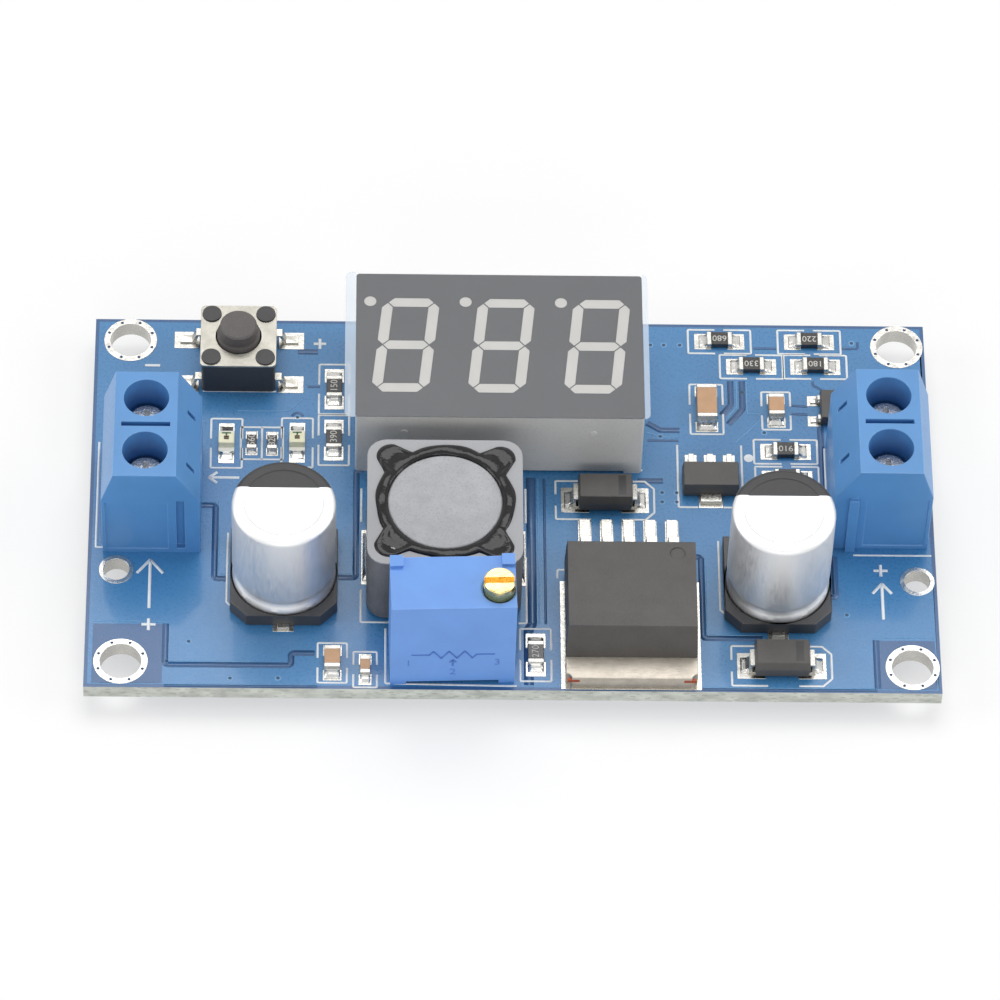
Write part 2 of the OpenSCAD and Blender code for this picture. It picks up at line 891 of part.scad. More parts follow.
module inductor_winding() {
    low = 0.45 + flange_t + 0.05;
    high = coil_h - flange_t - 0.05;
    turns = floor((high - low) / (2 * wire_r + 0.05));
    step = (high - low) / turns;
    color("#b4662f")
    on_board(inductor_at)
        rotate_extrude($fn = 96) {
            translate([post_core_r + 0.02, low])
                square([1.2, high - low]);
            for (i = [0 : turns - 1])
                translate([post_core_r + 1.2, low + (i + 0.5) * step])
                    circle(r = wire_r, $fn = 24);
        }
}

module inductor_adhesive() {
    color("#141414")
    on_board(inductor_at)
        translate([0, 0, coil_h - bead_depth])
            difference() {
                shield_opening(bead_depth - 0.05);
                translate([0, 0, -1])
                    cylinder(h = bead_depth + 2, r = flange_r, $fn = 96);
            }
}

module inductor_terminals() {
    color("gainsboro")
    on_board(inductor_at)
        for (s = [-1, 1])
            translate([s * (coil_l / 2 - 0.95), 0, 0]) {
                plate(1.9, clip_w, clip_t - tin_t, tin_t);
                translate([s * (0.95 - clip_t / 2), 0, 0])
                    plate(clip_t, clip_w, 1.5, tin_t);
            }
}

module regulator_body() {
    color("#4c4b4a")
    on_board(regulator_at)
        difference() {
            intersection() {
                rotate([0, 0, 90])
                    side_form(reg_w)
                        polygon([[reg_front_y, tin_t + reg_tab_t], [reg_front_y + 0.35, tin_t + 0.1],
                                 [reg_back_y + 0.2, tin_t + 0.1], [reg_back_y + 0.35, 2.4],
                                 [reg_back_y, reg_h], [-reg_back_y, reg_h]]);
                side_form(3 * reg_top_d)
                    polygon([[0.25 - reg_w / 2, 0], [reg_w / 2 - 0.25, 0], [reg_w / 2, reg_tab_t],
                             [reg_w / 2 - 0.12, reg_h], [0.12 - reg_w / 2, reg_h],
                             [-reg_w / 2, reg_tab_t]]);
            }
            // pin-one mark
            translate([3.56, 2.87, reg_h - 0.1])
                cylinder(h = 1, r = 0.58, $fn = 32);
            regulator_tab_form();
            regulator_lead_row();
        }
}

// Copper tab, with a notch in each end of its front edge
module regulator_tab_form() {
    back = reg_back_y - 1.4;
    translate([0, (back + reg_tab_front) / 2, 0])
        difference() {
            plate(reg_w, back - reg_tab_front, reg_tab_t, tin_t);
            for (s = [-1, 1])
                translate([s * (reg_w / 2), -(back - reg_tab_front) / 2, 0])
                    cylinder(h = 4, r = 0.45, $fn = 32);
            // the moulding grips a narrower waist
            for (s = [-1, 1])
                translate([s * reg_w / 2, 1.6, 0])
                    plate(1, back - reg_tab_front - 2, 4);
        }
}

module regulator_tab() {
    color("#cdc8bd")
    on_board(regulator_at)
        regulator_tab_form();
}

module regulator_leads() {
    color("#dedbd5")
    on_board(regulator_at)
        regulator_lead_row();
}

module regulator_lead_row() {
    for (i = [-2 : 2])
        translate([i * reg_pitch, 0, tin_t])
            rotate([0, 0, 90])
                gull_lead(reg_back_y - 0.2, reg_back_y + 1.6, reg_lead_end,
                          2.2, reg_lead_t, reg_lead_w);
}

module capacitor_can() {
    rim = 0.4;
    groove_z = can_floor + 1.7;
    color("#e4e4e2")
    rotate_extrude($fn = 96)
        polygon(concat(
            [[0, can_floor], [can_r - 0.35, can_floor], [can_r - 0.05, can_floor + 0.3],
             [can_r, groove_z - 0.7], [can_r - 0.3, groove_z - 0.15],
             [can_r - 0.3, groove_z + 0.15], [can_r, groove_z + 0.7]],
            [for (a = [0 : 22.5 : 90])
                [can_r - rim + rim * cos(a), can_top_h - rim + rim * sin(a)]],
            [[can_r - 0.9, can_top_h], [can_r - 1, can_top_h - 0.08], [0, can_top_h - 0.08]]));
}

module capacitor_base() {
    side = can_base_w / 2;
    cut = 1.3;
    color("#3a3a3c")
    difference() {
        translate([0, 0, tin_t])
            linear_extrude(can_base_h - tin_t)
                polygon([[cut - side, -side], [side - cut, -side], [side, cut - side],
                         [side, side], [-side, side], [-side, cut - side]]);
        translate([0, 0, can_floor])
            cylinder(h = can_base_h, r = can_r + 0.12, $fn = 96);
        capacitor_lead_pair();
    }
}

// Two flat leads that come down from the can and turn outwards under the base
module capacitor_lead_pair() {
    for (s = [-1, 1])
        translate([0, s * (can_base_w / 2 - 1.1), 0]) {
            plate(can_lead_w, 3.1, can_lead_t, tin_t);
            translate([0, -s * 1.2, 0])
                plate(can_lead_w * 0.7, 0.4, can_floor - tin_t, tin_t);
        }
}

module capacitor_leads() {
    color("gainsboro")
    for (p = [output_can_at, input_can_at])
        on_board(p)
            capacitor_lead_pair();
}

module diode_body() {
    color("#57534f")
    difference() {
        translate([0, 0, 0.25])
            moulding(diode_l, diode_w, diode_h - 0.25, diode_h * 0.5, 0.14);
        diode_lead_pair();
    }
}

// Flat leads that leave at mid height and wrap in under the moulding
module diode_lead_pair() {
    t = 0.2;
    out = diode_l / 2 + 0.35;
    for (s = [0, 180])
        rotate([0, 0, s])
            side_form(1.5)
                polygon([[diode_l / 2 - 0.2, diode_h * 0.5 + t], [out, diode_h * 0.5 + t],
                         [out, tin_t], [diode_l / 2 - 1.2, tin_t],
                         [diode_l / 2 - 1.2, 0.25], [out - t, 0.25],
                         [out - t, diode_h * 0.5], [diode_l / 2 - 0.2, diode_h * 0.5]]);
}

module diode_leads() {
    color("#d9d6cf")
    for (p = [catch_diode_at, input_diode_at])
        on_board(p)
            diode_lead_pair();
}

module meter_regulator() {
    color("#504e4c")
    on_board(meter_reg_at)
        difference() {
            translate([0, 0, tin_t])
                moulding(4.5, 2.45, 1.5, 0.45, 0.1);
            meter_regulator_lead_set();
        }
}

// Three flat leads on one side and the tab on the other
module meter_regulator_lead_set() {
    for (i = [-1 : 1])
        translate([i * 1.5, 1.1 + 0.75, 0])
            plate(i == 0 ? 0.5 : 0.42, 1.7, 0.4, tin_t);
    translate([0, -1.45, 0])
        plate(1.65, 1, 0.4, tin_t);
}

module meter_regulator_leads() {
    color("#dedbd5")
    on_board(meter_reg_at)
        meter_regulator_lead_set();
}

module transistor() {
    color("#4a4847")
    on_board(transistor_at)
        difference() {
            translate([0, 0, tin_t + 0.05])
                moulding(1.3, 2.9, 1, 0.5, 0.1);
            transistor_lead_set();
        }
}

module transistor_lead_set() {
    for (y = [-0.95, 0.95])
        translate([0, y, tin_t])
            rotate([0, 0, 180])
                gull_lead(0.55, 0.75, 1.4, 0.45, 0.12, 0.42);
    translate([0, 0, tin_t])
        gull_lead(0.55, 0.75, 1.4, 0.45, 0.12, 0.42);
}

module transistor_leads() {
    color("#dedbd5")
    on_board(transistor_at)
        transistor_lead_set();
}

module led_bases() {
    color("#e9e6da")
    for (p = led_places)
        on_board(p, 90)
            plate(res_l, res_w, 0.3, tin_t);
}

module led_lenses() {
    color("#f3efc9")
    for (p = led_places)
        on_board(p, 90)
            translate([0, 0, 0.3 + tin_t])
                intersection() {
                    plate(1.3, res_w, led_h);
                    side_form(res_w)
                        polygon([[-0.65, 0], [0.65, 0], [0.5, led_h - 0.35], [-0.5, led_h - 0.35]]);
                }
}

module chip_core(l, w, h) {
    plate(l - 2 * chip_end, w - 0.04, h - 0.04, tin_t + 0.02);
}

module chip_caps(l, w, h) {
    for (s = [-1, 1])
        translate([s * (l - chip_end) / 2, 0, 0])
            plate(chip_end, w, h, tin_t);
}

module resistors() {
    color("#2e2d2c") {
        for (p = res_places)
            on_board(p, p[2])
                chip_core(res_l, res_w, res_h);
        for (p = small_res_places)
            on_board(p, p[2])
                chip_core(small_res_l, small_res_w, res_h);
    }
}

module ceramic_capacitors() {
    color("#b98d69")
    for (c = cap_places)
        on_board(c, 90)
            chip_core(c[2], c[3], c[4]);
}

module chip_ends() {
    color("#d9d7d2") {
        for (p = res_places)
            on_board(p, p[2])
                chip_caps(res_l, res_w, res_h);
        for (p = small_res_places)
            on_board(p, p[2])
                chip_caps(small_res_l, small_res_w, res_h);
        for (c = cap_places)
            on_board(c, 90)
                chip_caps(c[2], c[3], c[4]);
    }
}

module display_pin_places() {
    for (s = [-1, 1])
        for (i = [-2.5 : 2.5])
            translate([i * disp_pin_pitch, s * disp_pin_dy / 2, 0])
                children();
}

// One bar of a digit, lying along X, with pointed ends
module bar(l) {
    polygon([[-l / 2, 0], [bar_w / 2 - l / 2, bar_w / 2], [l / 2 - bar_w / 2, bar_w / 2],
             [l / 2, 0], [l / 2 - bar_w / 2, -bar_w / 2], [bar_w / 2 - l / 2, -bar_w / 2]]);
}

// Outline of one digit with its dot; the digits lean to the right
module digit() {
    gap = 0.12;
    across = digit_w - bar_w;
    half = (digit_h - bar_w) / 2;
    multmatrix([[1, tan(digit_lean), 0, 0], [0, 1, 0, 0], [0, 0, 1, 0], [0, 0, 0, 1]]) {
        for (y = [-half, 0, half])
            translate([0, y])
                bar(across - gap);
        for (x = [-across / 2, across / 2])
            for (y = [-half / 2, half / 2])
                translate([x, y])
                    rotate(90)
                        bar(half - gap);
    }
    translate([-digit_w / 2 - 0.55, half + 0.1])
        circle(r = dot_r, $fn = 32);
}

module all_digits() {
    for (i = [-1 : 1])
        translate([i * digit_pitch + 0.15, 0])
            digit();
}

module display_housing() {
    color("#cfcdca")
    on_board(display_at)
        difference() {
            linear_extrude(disp_h - face_t)
                round_rect(disp_l, disp_w, 0.25);
            plate(disp_l - 2 * recess_wall, disp_w - 2 * recess_wall, recess_h + 1, -1);
            translate([0, 0, recess_h - eps])
                linear_extrude(disp_h)
                    all_digits();
            // low slots between the corner feet
            for (s = [-1, 1])
                translate([0, s * disp_w / 2, -1])
                    plate(disp_l - 2.8, 2 * recess_wall + 1, 1.35);
        }
}

module display_face() {
    color("#646464")
    on_board(display_at)
        translate([0, 0, disp_h - face_t])
            linear_extrude(face_t)
                difference() {
                    round_rect(disp_l, disp_w, 0.25);
                    all_digits();
                }
}

module display_segments() {
    color("#d2d2d0")
    on_board(display_at)
        translate([0, 0, recess_h])
            linear_extrude(disp_h - recess_h)
                all_digits();
}

module display_board() {
    color("#7f9a6a")
    on_board(display_at)
        difference() {
            plate(disp_l - 2 * recess_wall, disp_w - 2 * recess_wall, disp_board_t,
                  recess_h - disp_board_t);
            display_pin_places()
                cylinder(h = 4, r = disp_pin_r, $fn = 24);
        }
}

module display_pins() {
    color("gainsboro")
    on_board(display_at)
        display_pin_places()
            display_pin();
}

module display_pin() {
    translate([0, 0, -board_t - pin_out])
        cylinder(h = board_t + pin_out + recess_h, r = disp_pin_r, $fn = 24);
}

module display_film() {
    right_over = film_over - 0.4;
    color([0.9, 0.94, 0.98, 0.35])
    on_board(display_at)
        translate([(right_over - film_over) / 2, 0, disp_h])
            linear_extrude(film_t)
                round_rect(disp_l + film_over + right_over, disp_w + 0.2, 0.5);
}

module meter_chip() {
    color("#3c3b3a")
    on_board(display_at)
        difference() {
            translate([0, 0, tin_t + 0.05])
                moulding(tssop[0], tssop[1], tssop[2], tssop[2] / 2, 0.1);
            meter_chip_lead_set();
        }
}

// Two rows of ten fine gull-wing leads
module meter_chip_lead_set() {
    for (s = [0, 180])
        rotate([0, 0, s])
            for (i = [0 : 9])
                translate([(i - 4.5) * 0.65, 0, tin_t])
                    rotate([0, 0, 90])
                        gull_lead(tssop[1] / 2 - 0.15, tssop[1] / 2 + 0.2, 3.2,
                                  0.42, 0.12, 0.24);
}

module meter_chip_leads() {
    color("gainsboro")
    on_board(display_at)
        meter_chip_lead_set();
}

module output_terminal_housing() {
    on_board(output_term_at)
        terminal_housing();
}

module input_terminal_housing() {
    on_board(input_term_at, 180)
        terminal_housing();
}

module output_terminal_contacts() {
    on_board(output_term_at)
        terminal_contacts();
}

module input_terminal_contacts() {
    on_board(input_term_at, 180)
        terminal_contacts();
}

module output_screw_1() {
    at_output_pole(0)
        clamp_screw();
}

module output_screw_2() {
    at_output_pole(1)
        clamp_screw();
}

module input_screw_1() {
    at_input_pole(0)
        clamp_screw();
}

module input_screw_2() {
    at_input_pole(1)
        clamp_screw();
}

module output_clamp_1() {
    at_output_pole(0)
        wire_clamp();
}

module output_clamp_2() {
    at_output_pole(1)
        wire_clamp();
}

module input_clamp_1() {
    at_input_pole(0)
        wire_clamp();
}

module input_clamp_2() {
    at_input_pole(1)
        wire_clamp();
}

module output_capacitor_can() {
    on_board(output_can_at)
        capacitor_can();
}

module output_capacitor_base() {
    on_board(output_can_at)
        capacitor_base();
}

module input_capacitor_can() {
    on_board(input_can_at)
        capacitor_can();
}

module input_capacitor_base() {
    on_board(input_can_at)
        capacitor_base();
}

module catch_diode() {
    on_board(catch_diode_at)
        diode_body();
}

module input_diode() {
    on_board(input_diode_at)
        diode_body();
}

board();
mounting_rings();
solder_pads();
solder_fillets();
solder_joints();
output_terminal_housing();
input_terminal_housing();
output_screw_1();
output_screw_2();
input_screw_1();
input_screw_2();
output_clamp_1();
output_clamp_2();
input_clamp_1();
input_clamp_2();
output_terminal_contacts();
input_terminal_contacts();
switch_base();
switch_cover();
switch_button();
switch_dome();
switch_leads();
trimmer_case();
trimmer_screw();
trimmer_wheel();
trimmer_element();
trimmer_pins();
inductor_shield();
inductor_core();
inductor_winding();
inductor_adhesive();
inductor_terminals();
regulator_body();
regulator_tab();
regulator_leads();
output_capacitor_can();
output_capacitor_base();
input_capacitor_can();
input_capacitor_base();
capacitor_leads();
catch_diode();
input_diode();
diode_leads();
meter_regulator();
meter_regulator_leads();
transistor();
transistor_leads();
led_bases();
led_lenses();
resistors();
ceramic_capacitors();
chip_ends();
display_housing();
display_face();
display_segments();
display_board();
display_pins();
display_film();
meter_chip();
meter_chip_leads();
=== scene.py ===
# %% [markdown]
# # A step-down converter board, ready to render
# The board carries screw terminals, a coil, two capacitors, a trimmer and a small number display.
# A solid model gives every piece its real size and place. This lesson adds what a solid model
# leaves out: finish, print, solder, rounded edges and light. It starts by loading that model as a
# fixed frame, because everything made later takes its place from it.

# %% Load the frame
import bmesh
import bpy
import json
import math
from mathutils import Matrix, Vector


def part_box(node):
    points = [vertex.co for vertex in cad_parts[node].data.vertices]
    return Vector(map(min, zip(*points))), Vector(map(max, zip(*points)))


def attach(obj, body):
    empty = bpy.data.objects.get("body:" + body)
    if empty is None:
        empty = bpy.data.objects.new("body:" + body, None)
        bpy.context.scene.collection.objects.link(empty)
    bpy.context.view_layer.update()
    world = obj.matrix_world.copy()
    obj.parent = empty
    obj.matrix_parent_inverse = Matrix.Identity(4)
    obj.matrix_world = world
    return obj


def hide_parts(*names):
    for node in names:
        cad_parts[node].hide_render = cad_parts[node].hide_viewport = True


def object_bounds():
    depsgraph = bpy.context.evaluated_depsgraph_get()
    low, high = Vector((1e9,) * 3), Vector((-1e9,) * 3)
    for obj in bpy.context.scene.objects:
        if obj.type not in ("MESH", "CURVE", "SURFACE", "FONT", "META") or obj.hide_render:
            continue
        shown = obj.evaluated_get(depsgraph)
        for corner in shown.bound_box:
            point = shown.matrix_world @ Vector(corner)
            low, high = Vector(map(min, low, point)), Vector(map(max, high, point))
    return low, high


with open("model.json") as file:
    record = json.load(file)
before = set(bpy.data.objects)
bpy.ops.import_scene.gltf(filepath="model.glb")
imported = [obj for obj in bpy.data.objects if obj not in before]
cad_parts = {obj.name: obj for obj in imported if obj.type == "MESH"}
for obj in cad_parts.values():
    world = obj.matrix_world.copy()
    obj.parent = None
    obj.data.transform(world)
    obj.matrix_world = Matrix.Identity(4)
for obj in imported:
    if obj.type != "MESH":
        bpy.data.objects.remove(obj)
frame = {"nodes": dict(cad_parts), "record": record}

MM = 0.001
scene = bpy.context.scene
record = frame["record"]
cad_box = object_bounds()
slot_of = {row["node"]: row["material_slot"] for row in record["subparts"]}
body_of = {node: body for body, nodes in record["behaviour"]["bodies"].items() for node in nodes}


def box_mm(node):
    """Lowest and highest corner of a node, in millimetres."""
    low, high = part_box(node)
    return Vector(low) / MM, Vector(high) / MM


BOARD_LOW, BOARD_HIGH = box_mm("board")
TOP = BOARD_HIGH.z
print("board", [round(v, 2) for v in BOARD_HIGH - BOARD_LOW], "mm, top at", round(TOP, 2))

# %% [markdown]
# ## Camera
# The camera looks from in front and well above, with a long lens, so the far edge is hardly
# smaller than the near one. A camera is a place and three directions. The directions follow from how
# far it turns round the board, how far it looks down and how far it leans.

# %% Camera
CAMERA_PLACE = Vector((-13.612, -311.039, 430.643)) * MM
CAMERA_TURN = -2.28149
CAMERA_TILT = 54.04543
CAMERA_LEAN = 2.35634
SENSOR = 36.0
LENS = 243.813


def camera_axes(turn, tilt, lean):
    """Right, up and back directions of a camera, from its three angles in degrees."""
    turn, tilt, lean = (math.radians(v) for v in (turn, tilt, lean))
    back = Vector((math.sin(turn) * math.cos(tilt), -math.cos(turn) * math.cos(tilt), math.sin(tilt)))
    level = (-back).cross(Vector((0, 0, 1))).normalized()
    high = level.cross(-back)
    right = math.cos(lean) * level + math.sin(lean) * high
    up = -math.sin(lean) * level + math.cos(lean) * high
    return right, up, back


camera = bpy.data.objects.new("camera", bpy.data.cameras.new("camera"))
scene.collection.objects.link(camera)
camera.data.sensor_width = SENSOR
camera.data.lens = LENS
camera.data.clip_start = 0.01
axes = Matrix(camera_axes(CAMERA_TURN, CAMERA_TILT, CAMERA_LEAN)).transposed().to_4x4()
camera.matrix_world = Matrix.Translation(CAMERA_PLACE) @ axes
scene.camera = camera
print("camera", round(CAMERA_PLACE.length, 3), "m from the middle of the board")

# %% [markdown]
# ## Small tools for shaders
# A shader is a net of nodes, and most nodes here do one of two jobs: a sum on two values, or a change
# of range. Each job is one function, and a value may be a number or another node's socket.

# %% Shader tools
def plug(tree, socket, value):
    """Link a socket to another one, or give it a plain value."""
    if isinstance(value, bpy.types.NodeSocket):
        tree.links.new(value, socket)
    else:
        socket.default_value = value


def maths(tree, operation, first, second):
    """The result of one sum on two values."""
    node = tree.nodes.new("ShaderNodeMath")
    node.operation = operation
    plug(tree, node.inputs[0], first)
    plug(tree, node.inputs[1], second)
    return node.outputs[0]


def remap(tree, value, to_low=0.0, to_high=1.0, from_low=0.0, from_high=1.0):
    """A value moved from one range to another and held at the new range's ends."""
    node = tree.nodes.new("ShaderNodeMapRange")
    plug(tree, node.inputs["Value"], value)
    plug(tree, node.inputs["From Min"], from_low)
    plug(tree, node.inputs["From Max"], from_high)
    plug(tree, node.inputs["To Min"], to_low)
    plug(tree, node.inputs["To Max"], to_high)
    return node.outputs["Result"]


print("shader tools", plug.__name__, maths.__name__, remap.__name__)

# %% [markdown]
# ## Light and floor
# Small shiny parts look right when they reflect large plain surfaces, so the lamps are big and soft.
# The world is white for what the camera and reflections see, and weaker for the light it sheds, so
# tin and aluminium look bright without washing out the blue. Each lamp's power is worked out from the
# light that should reach the board.

# %% World
WORLD_SHARE = 0.42


def rays_that_see_white(tree):
    """A value of 1 on camera, glossy and transmission rays."""
    path = tree.nodes.new("ShaderNodeLightPath")
    either = maths(tree, "MAXIMUM", path.outputs["Is Camera Ray"], path.outputs["Is Glossy Ray"])
    return maths(tree, "MAXIMUM", either, path.outputs["Is Transmission Ray"])


world = bpy.data.worlds.new("white_room")
scene.world = world
world.use_nodes = True
room = world.node_tree
sky = room.nodes["Background"]
sky.inputs["Color"].default_value = (1, 1, 1, 1)
room.links.new(remap(room, rays_that_see_white(room), WORLD_SHARE), sky.inputs["Strength"])
scene.view_settings.view_transform = "Standard"
print("world sheds", WORLD_SHARE, "of the light that it shows")

# %% Lamps
LAMPS = {
    "lamp_over": {"at": (0.02, 0.16, 0.46), "size": (0.36, 0.26), "share": 0.42},
    "lamp_left": {"at": (-0.40, -0.02, 0.20), "size": (0.24, 0.30), "share": 0.30},
    "lamp_right": {"at": (0.40, -0.02, 0.20), "size": (0.24, 0.30), "share": 0.30},
    "lamp_near": {"at": (0.0, -0.42, 0.22), "size": (0.40, 0.16), "share": 0.20},
}


def soft_lamp(name, at, size, share):
    """An area lamp aimed at the board, whose power gives that share of a white surface's light."""
    lamp = bpy.data.lights.new(name, "AREA")
    lamp.shape = "RECTANGLE"
    lamp.size, lamp.size_y = size
    lamp.energy = share * math.pi ** 2 * Vector(at).length_squared
    obj = bpy.data.objects.new(name, lamp)
    scene.collection.objects.link(obj)
    turn = Vector(at).to_track_quat("Z", "Y")
    obj.matrix_world = Matrix.Translation(at) @ turn.to_matrix().to_4x4()
    return lamp


for name, row in LAMPS.items():
    print(name, round(soft_lamp(name, row["at"], row["size"], row["share"]).energy, 3), "W")

# %% Floor
FLOOR_SIDE = 3.0
FLOOR_WHITE = 0.55
FLOOR_DROP = 0.02 * MM


def pale_floor(lowest):
    """A wide plain floor, mostly white to the camera, that still shows the board's shadow."""
    mesh = bpy.data.meshes.new("floor")
    half = FLOOR_SIDE / 2
    corners = ((-half, -half), (half, -half), (half, half), (-half, half))
    mesh.from_pydata([(x, y, lowest) for x, y in corners], [], [(0, 1, 2, 3)])
    floor = bpy.data.objects.new("floor", mesh)
    scene.collection.objects.link(floor)
    material = bpy.data.materials.new("floor_paper")
    material.use_nodes = True
    tree = material.node_tree
    paper = tree.nodes["Principled BSDF"]
    paper.inputs["Base Color"].default_value = (0.93, 0.93, 0.93, 1)
    paper.inputs["Roughness"].default_value = 0.9
    glow = tree.nodes.new("ShaderNodeEmission")
    glow.inputs["Strength"].default_value = 1.0
    mix = tree.nodes.new("ShaderNodeMixShader")
    tree.links.new(maths(tree, "MULTIPLY", rays_that_see_white(tree), FLOOR_WHITE), mix.inputs[0])
    tree.links.new(paper.outputs[0], mix.inputs[1])
    tree.links.new(glow.outputs[0], mix.inputs[2])
    tree.links.new(mix.outputs[0], tree.nodes["Material Output"].inputs["Surface"])
    mesh.materials.append(material)
    return floor


pale_floor(cad_box[0][2] - FLOOR_DROP)
print("floor at", round(cad_box[0][2] / MM, 3), "mm")

# %% [markdown]
# ## Shared effects
# Real plastics and metals are never one flat colour. Their tone drifts, they have a fine grain, and
# dust settles on them. Their edges are painted lighter: a painted highlight where a rounded edge would
# catch light, and bare copper on a sheared metal edge. Each effect is a node group with named inputs,
# built once and used in every finish with its own sizes. A group only puts out masks.

# %% Node group helper
def new_group(name, ins, outs):
    """An empty shader node group with float inputs, a vector first, and float outputs."""
    group = bpy.data.node_groups.new(name, "ShaderNodeTree")
    group.interface.new_socket("Vector", in_out="INPUT", socket_type="NodeSocketVector")
    for label, value in ins.items():
        socket = group.interface.new_socket(label, in_out="INPUT", socket_type="NodeSocketFloat")
        socket.default_value = value
    for label in outs:
        group.interface.new_socket(label, in_out="OUTPUT", socket_type="NodeSocketFloat")
    return group, group.nodes.new("NodeGroupInput"), group.nodes.new("NodeGroupOutput")


def noise_in(group, vector, scale, detail, rough):
    """A noise texture inside a group, fed by a vector and a scale socket."""
    noise = group.nodes.new("ShaderNodeTexNoise")
    noise.inputs["Detail"].default_value = detail
    noise.inputs["Roughness"].default_value = rough
    group.links.new(vector, noise.inputs["Vector"])
    group.links.new(scale, noise.inputs["Scale"])
    return noise.outputs["Fac"]


print("group helpers", new_group.__name__, noise_in.__name__)

# %% Grain, drift and dust groups
def build_surface_group():
    """Fine grain, slow drift of tone and scattered specks, on object coordinates in metres."""
    group, entry, result = new_group("surface_detail", {"Grain Scale": 6000.0, "Drift Scale": 300.0,
                                                        "Speck Scale": 2500.0, "Speck Share": 0.3},
                                     ("Grain", "Drift", "Specks"))
    vector = entry.outputs["Vector"]
    grain = noise_in(group, vector, entry.outputs["Grain Scale"], 3.0, 0.6)
    group.links.new(remap(group, grain, from_low=0.3, from_high=0.7), result.inputs["Grain"])
    drift = noise_in(group, vector, entry.outputs["Drift Scale"], 4.0, 0.55)
    group.links.new(remap(group, drift, from_low=0.32, from_high=0.68), result.inputs["Drift"])
    cells = group.nodes.new("ShaderNodeTexVoronoi")
    group.links.new(vector, cells.inputs["Vector"])
    group.links.new(entry.outputs["Speck Scale"], cells.inputs["Scale"])
    near = maths(group, "LESS_THAN", cells.outputs["Distance"], entry.outputs["Speck Share"])
    group.links.new(near, result.inputs["Specks"])
    return group


def build_edge_group():
    """A mask of edges, from how far a rounded normal leaves the true one: painted highlight where the edge
    colour is lighter, bare metal where it is copper.
    """
    group, entry, result = new_group("edge_wear_and_highlight", {"Radius": 0.00008, "Reach": 0.35}, ("Edge",))
    rounded = group.nodes.new("ShaderNodeBevel")
    rounded.samples = 4
    group.links.new(entry.outputs["Radius"], rounded.inputs["Radius"])
    true = group.nodes.new("ShaderNodeNewGeometry")
    dot = group.nodes.new("ShaderNodeVectorMath")
    dot.operation = "DOT_PRODUCT"
    group.links.new(rounded.outputs[0], dot.inputs[0])
    group.links.new(true.outputs["Normal"], dot.inputs[1])
    wear_and_highlight = remap(group, dot.outputs["Value"], 0.0, entry.outputs["Reach"], 1.0, 0.8)
    group.links.new(wear_and_highlight, result.inputs["Edge"])
    return group


SURFACE = build_surface_group()
EDGE = build_edge_group()
print("groups", SURFACE.name, EDGE.name)

# %% [markdown]
# ## Finishes
# A finish is written as one row: its colour, how rough it is, and how strong each shared effect is.
# One function turns a row into a material. Colours are written as a painter reads them, from 0 to
# 255, and turned into the straight scale that light sums on.

# %% Material factory
def paint(red, green, blue):
    """A colour from 0-255 values on the screen's curve, as linear red, green, blue and 1."""
    def straight(v):
        v = v / 255
        return v / 12.92 if v <= 0.04045 else ((v + 0.055) / 1.055) ** 2.4
    return (straight(red), straight(green), straight(blue), 1.0)


def toned(colour, factor):
    """A colour made lighter or darker by a factor."""
    return tuple(min(1.0, v * factor) for v in colour[:3]) + (1.0,)


def mix_colour(tree, mask, first, second):
    """A colour mix whose ends are either colours or sockets."""
    mix = tree.nodes.new("ShaderNodeMix")
    mix.data_type = "RGBA"
    tree.links.new(mask, mix.inputs[0])
    plug(tree, mix.inputs[6], first)
    plug(tree, mix.inputs[7], second)
    return mix.outputs[2]


def finish(name, colour, rough, metal=0.0, coat=0.0, drift=0.08, drift_mm=3.0, grain_mm=0.15, bump=0.004,
           edge=0.3, edge_colour=None, specks=0.0, speck_mm=0.5, speck_colour=None, squeeze=(1, 1, 1),
           spread=0.08):
    """A material with drifting tone, grain, specks, and edges painted another colour: a painted highlight
    where lighter, bare copper where copper.
    """
    material = bpy.data.materials.new(name)
    material.use_nodes = True
    tree = material.node_tree
    shader = tree.nodes["Principled BSDF"]
    coords = tree.nodes.new("ShaderNodeTexCoord")
    place = tree.nodes.new("ShaderNodeMapping")
    place.inputs["Scale"].default_value = squeeze
    tree.links.new(coords.outputs["Object"], place.inputs["Vector"])
    detail = tree.nodes.new("ShaderNodeGroup")
    detail.node_tree = SURFACE
    tree.links.new(place.outputs[0], detail.inputs["Vector"])
    detail.inputs["Grain Scale"].default_value = 1 / (grain_mm * MM)
    detail.inputs["Drift Scale"].default_value = 1 / (drift_mm * MM)
    detail.inputs["Speck Scale"].default_value = 1 / (speck_mm * MM)
    wear_and_highlight = tree.nodes.new("ShaderNodeGroup")
    wear_and_highlight.node_tree = EDGE
    wear_and_highlight.inputs["Reach"].default_value = edge
    tone = mix_colour(tree, detail.outputs["Drift"], toned(colour, 1 - drift), toned(colour, 1 + drift))
    if specks:
        mask = maths(tree, "MULTIPLY", detail.outputs["Specks"], specks)
        tone = mix_colour(tree, mask, tone, speck_colour or toned(colour, 1.5))
    # The edge colour is a painted highlight on rounded edges where it is lighter, and bare copper on the
    # regulator tab's sheared edges.
    tone = mix_colour(tree, wear_and_highlight.outputs["Edge"], tone, edge_colour or toned(colour, 1.6))
    tree.links.new(tone, shader.inputs["Base Color"])
    gloss = remap(tree, detail.outputs["Grain"], max(0.03, rough - spread), rough + spread)
    tree.links.new(gloss, shader.inputs["Roughness"])
    relief = tree.nodes.new("ShaderNodeBump")
    relief.inputs["Distance"].default_value = bump * MM
    tree.links.new(detail.outputs["Grain"], relief.inputs["Height"])
    tree.links.new(relief.outputs["Normal"], shader.inputs["Normal"])
    shader.inputs["Metallic"].default_value = metal
    shader.inputs["Coat Weight"].default_value = coat
    shader.inputs["Coat Roughness"].default_value = 0.08
    return material


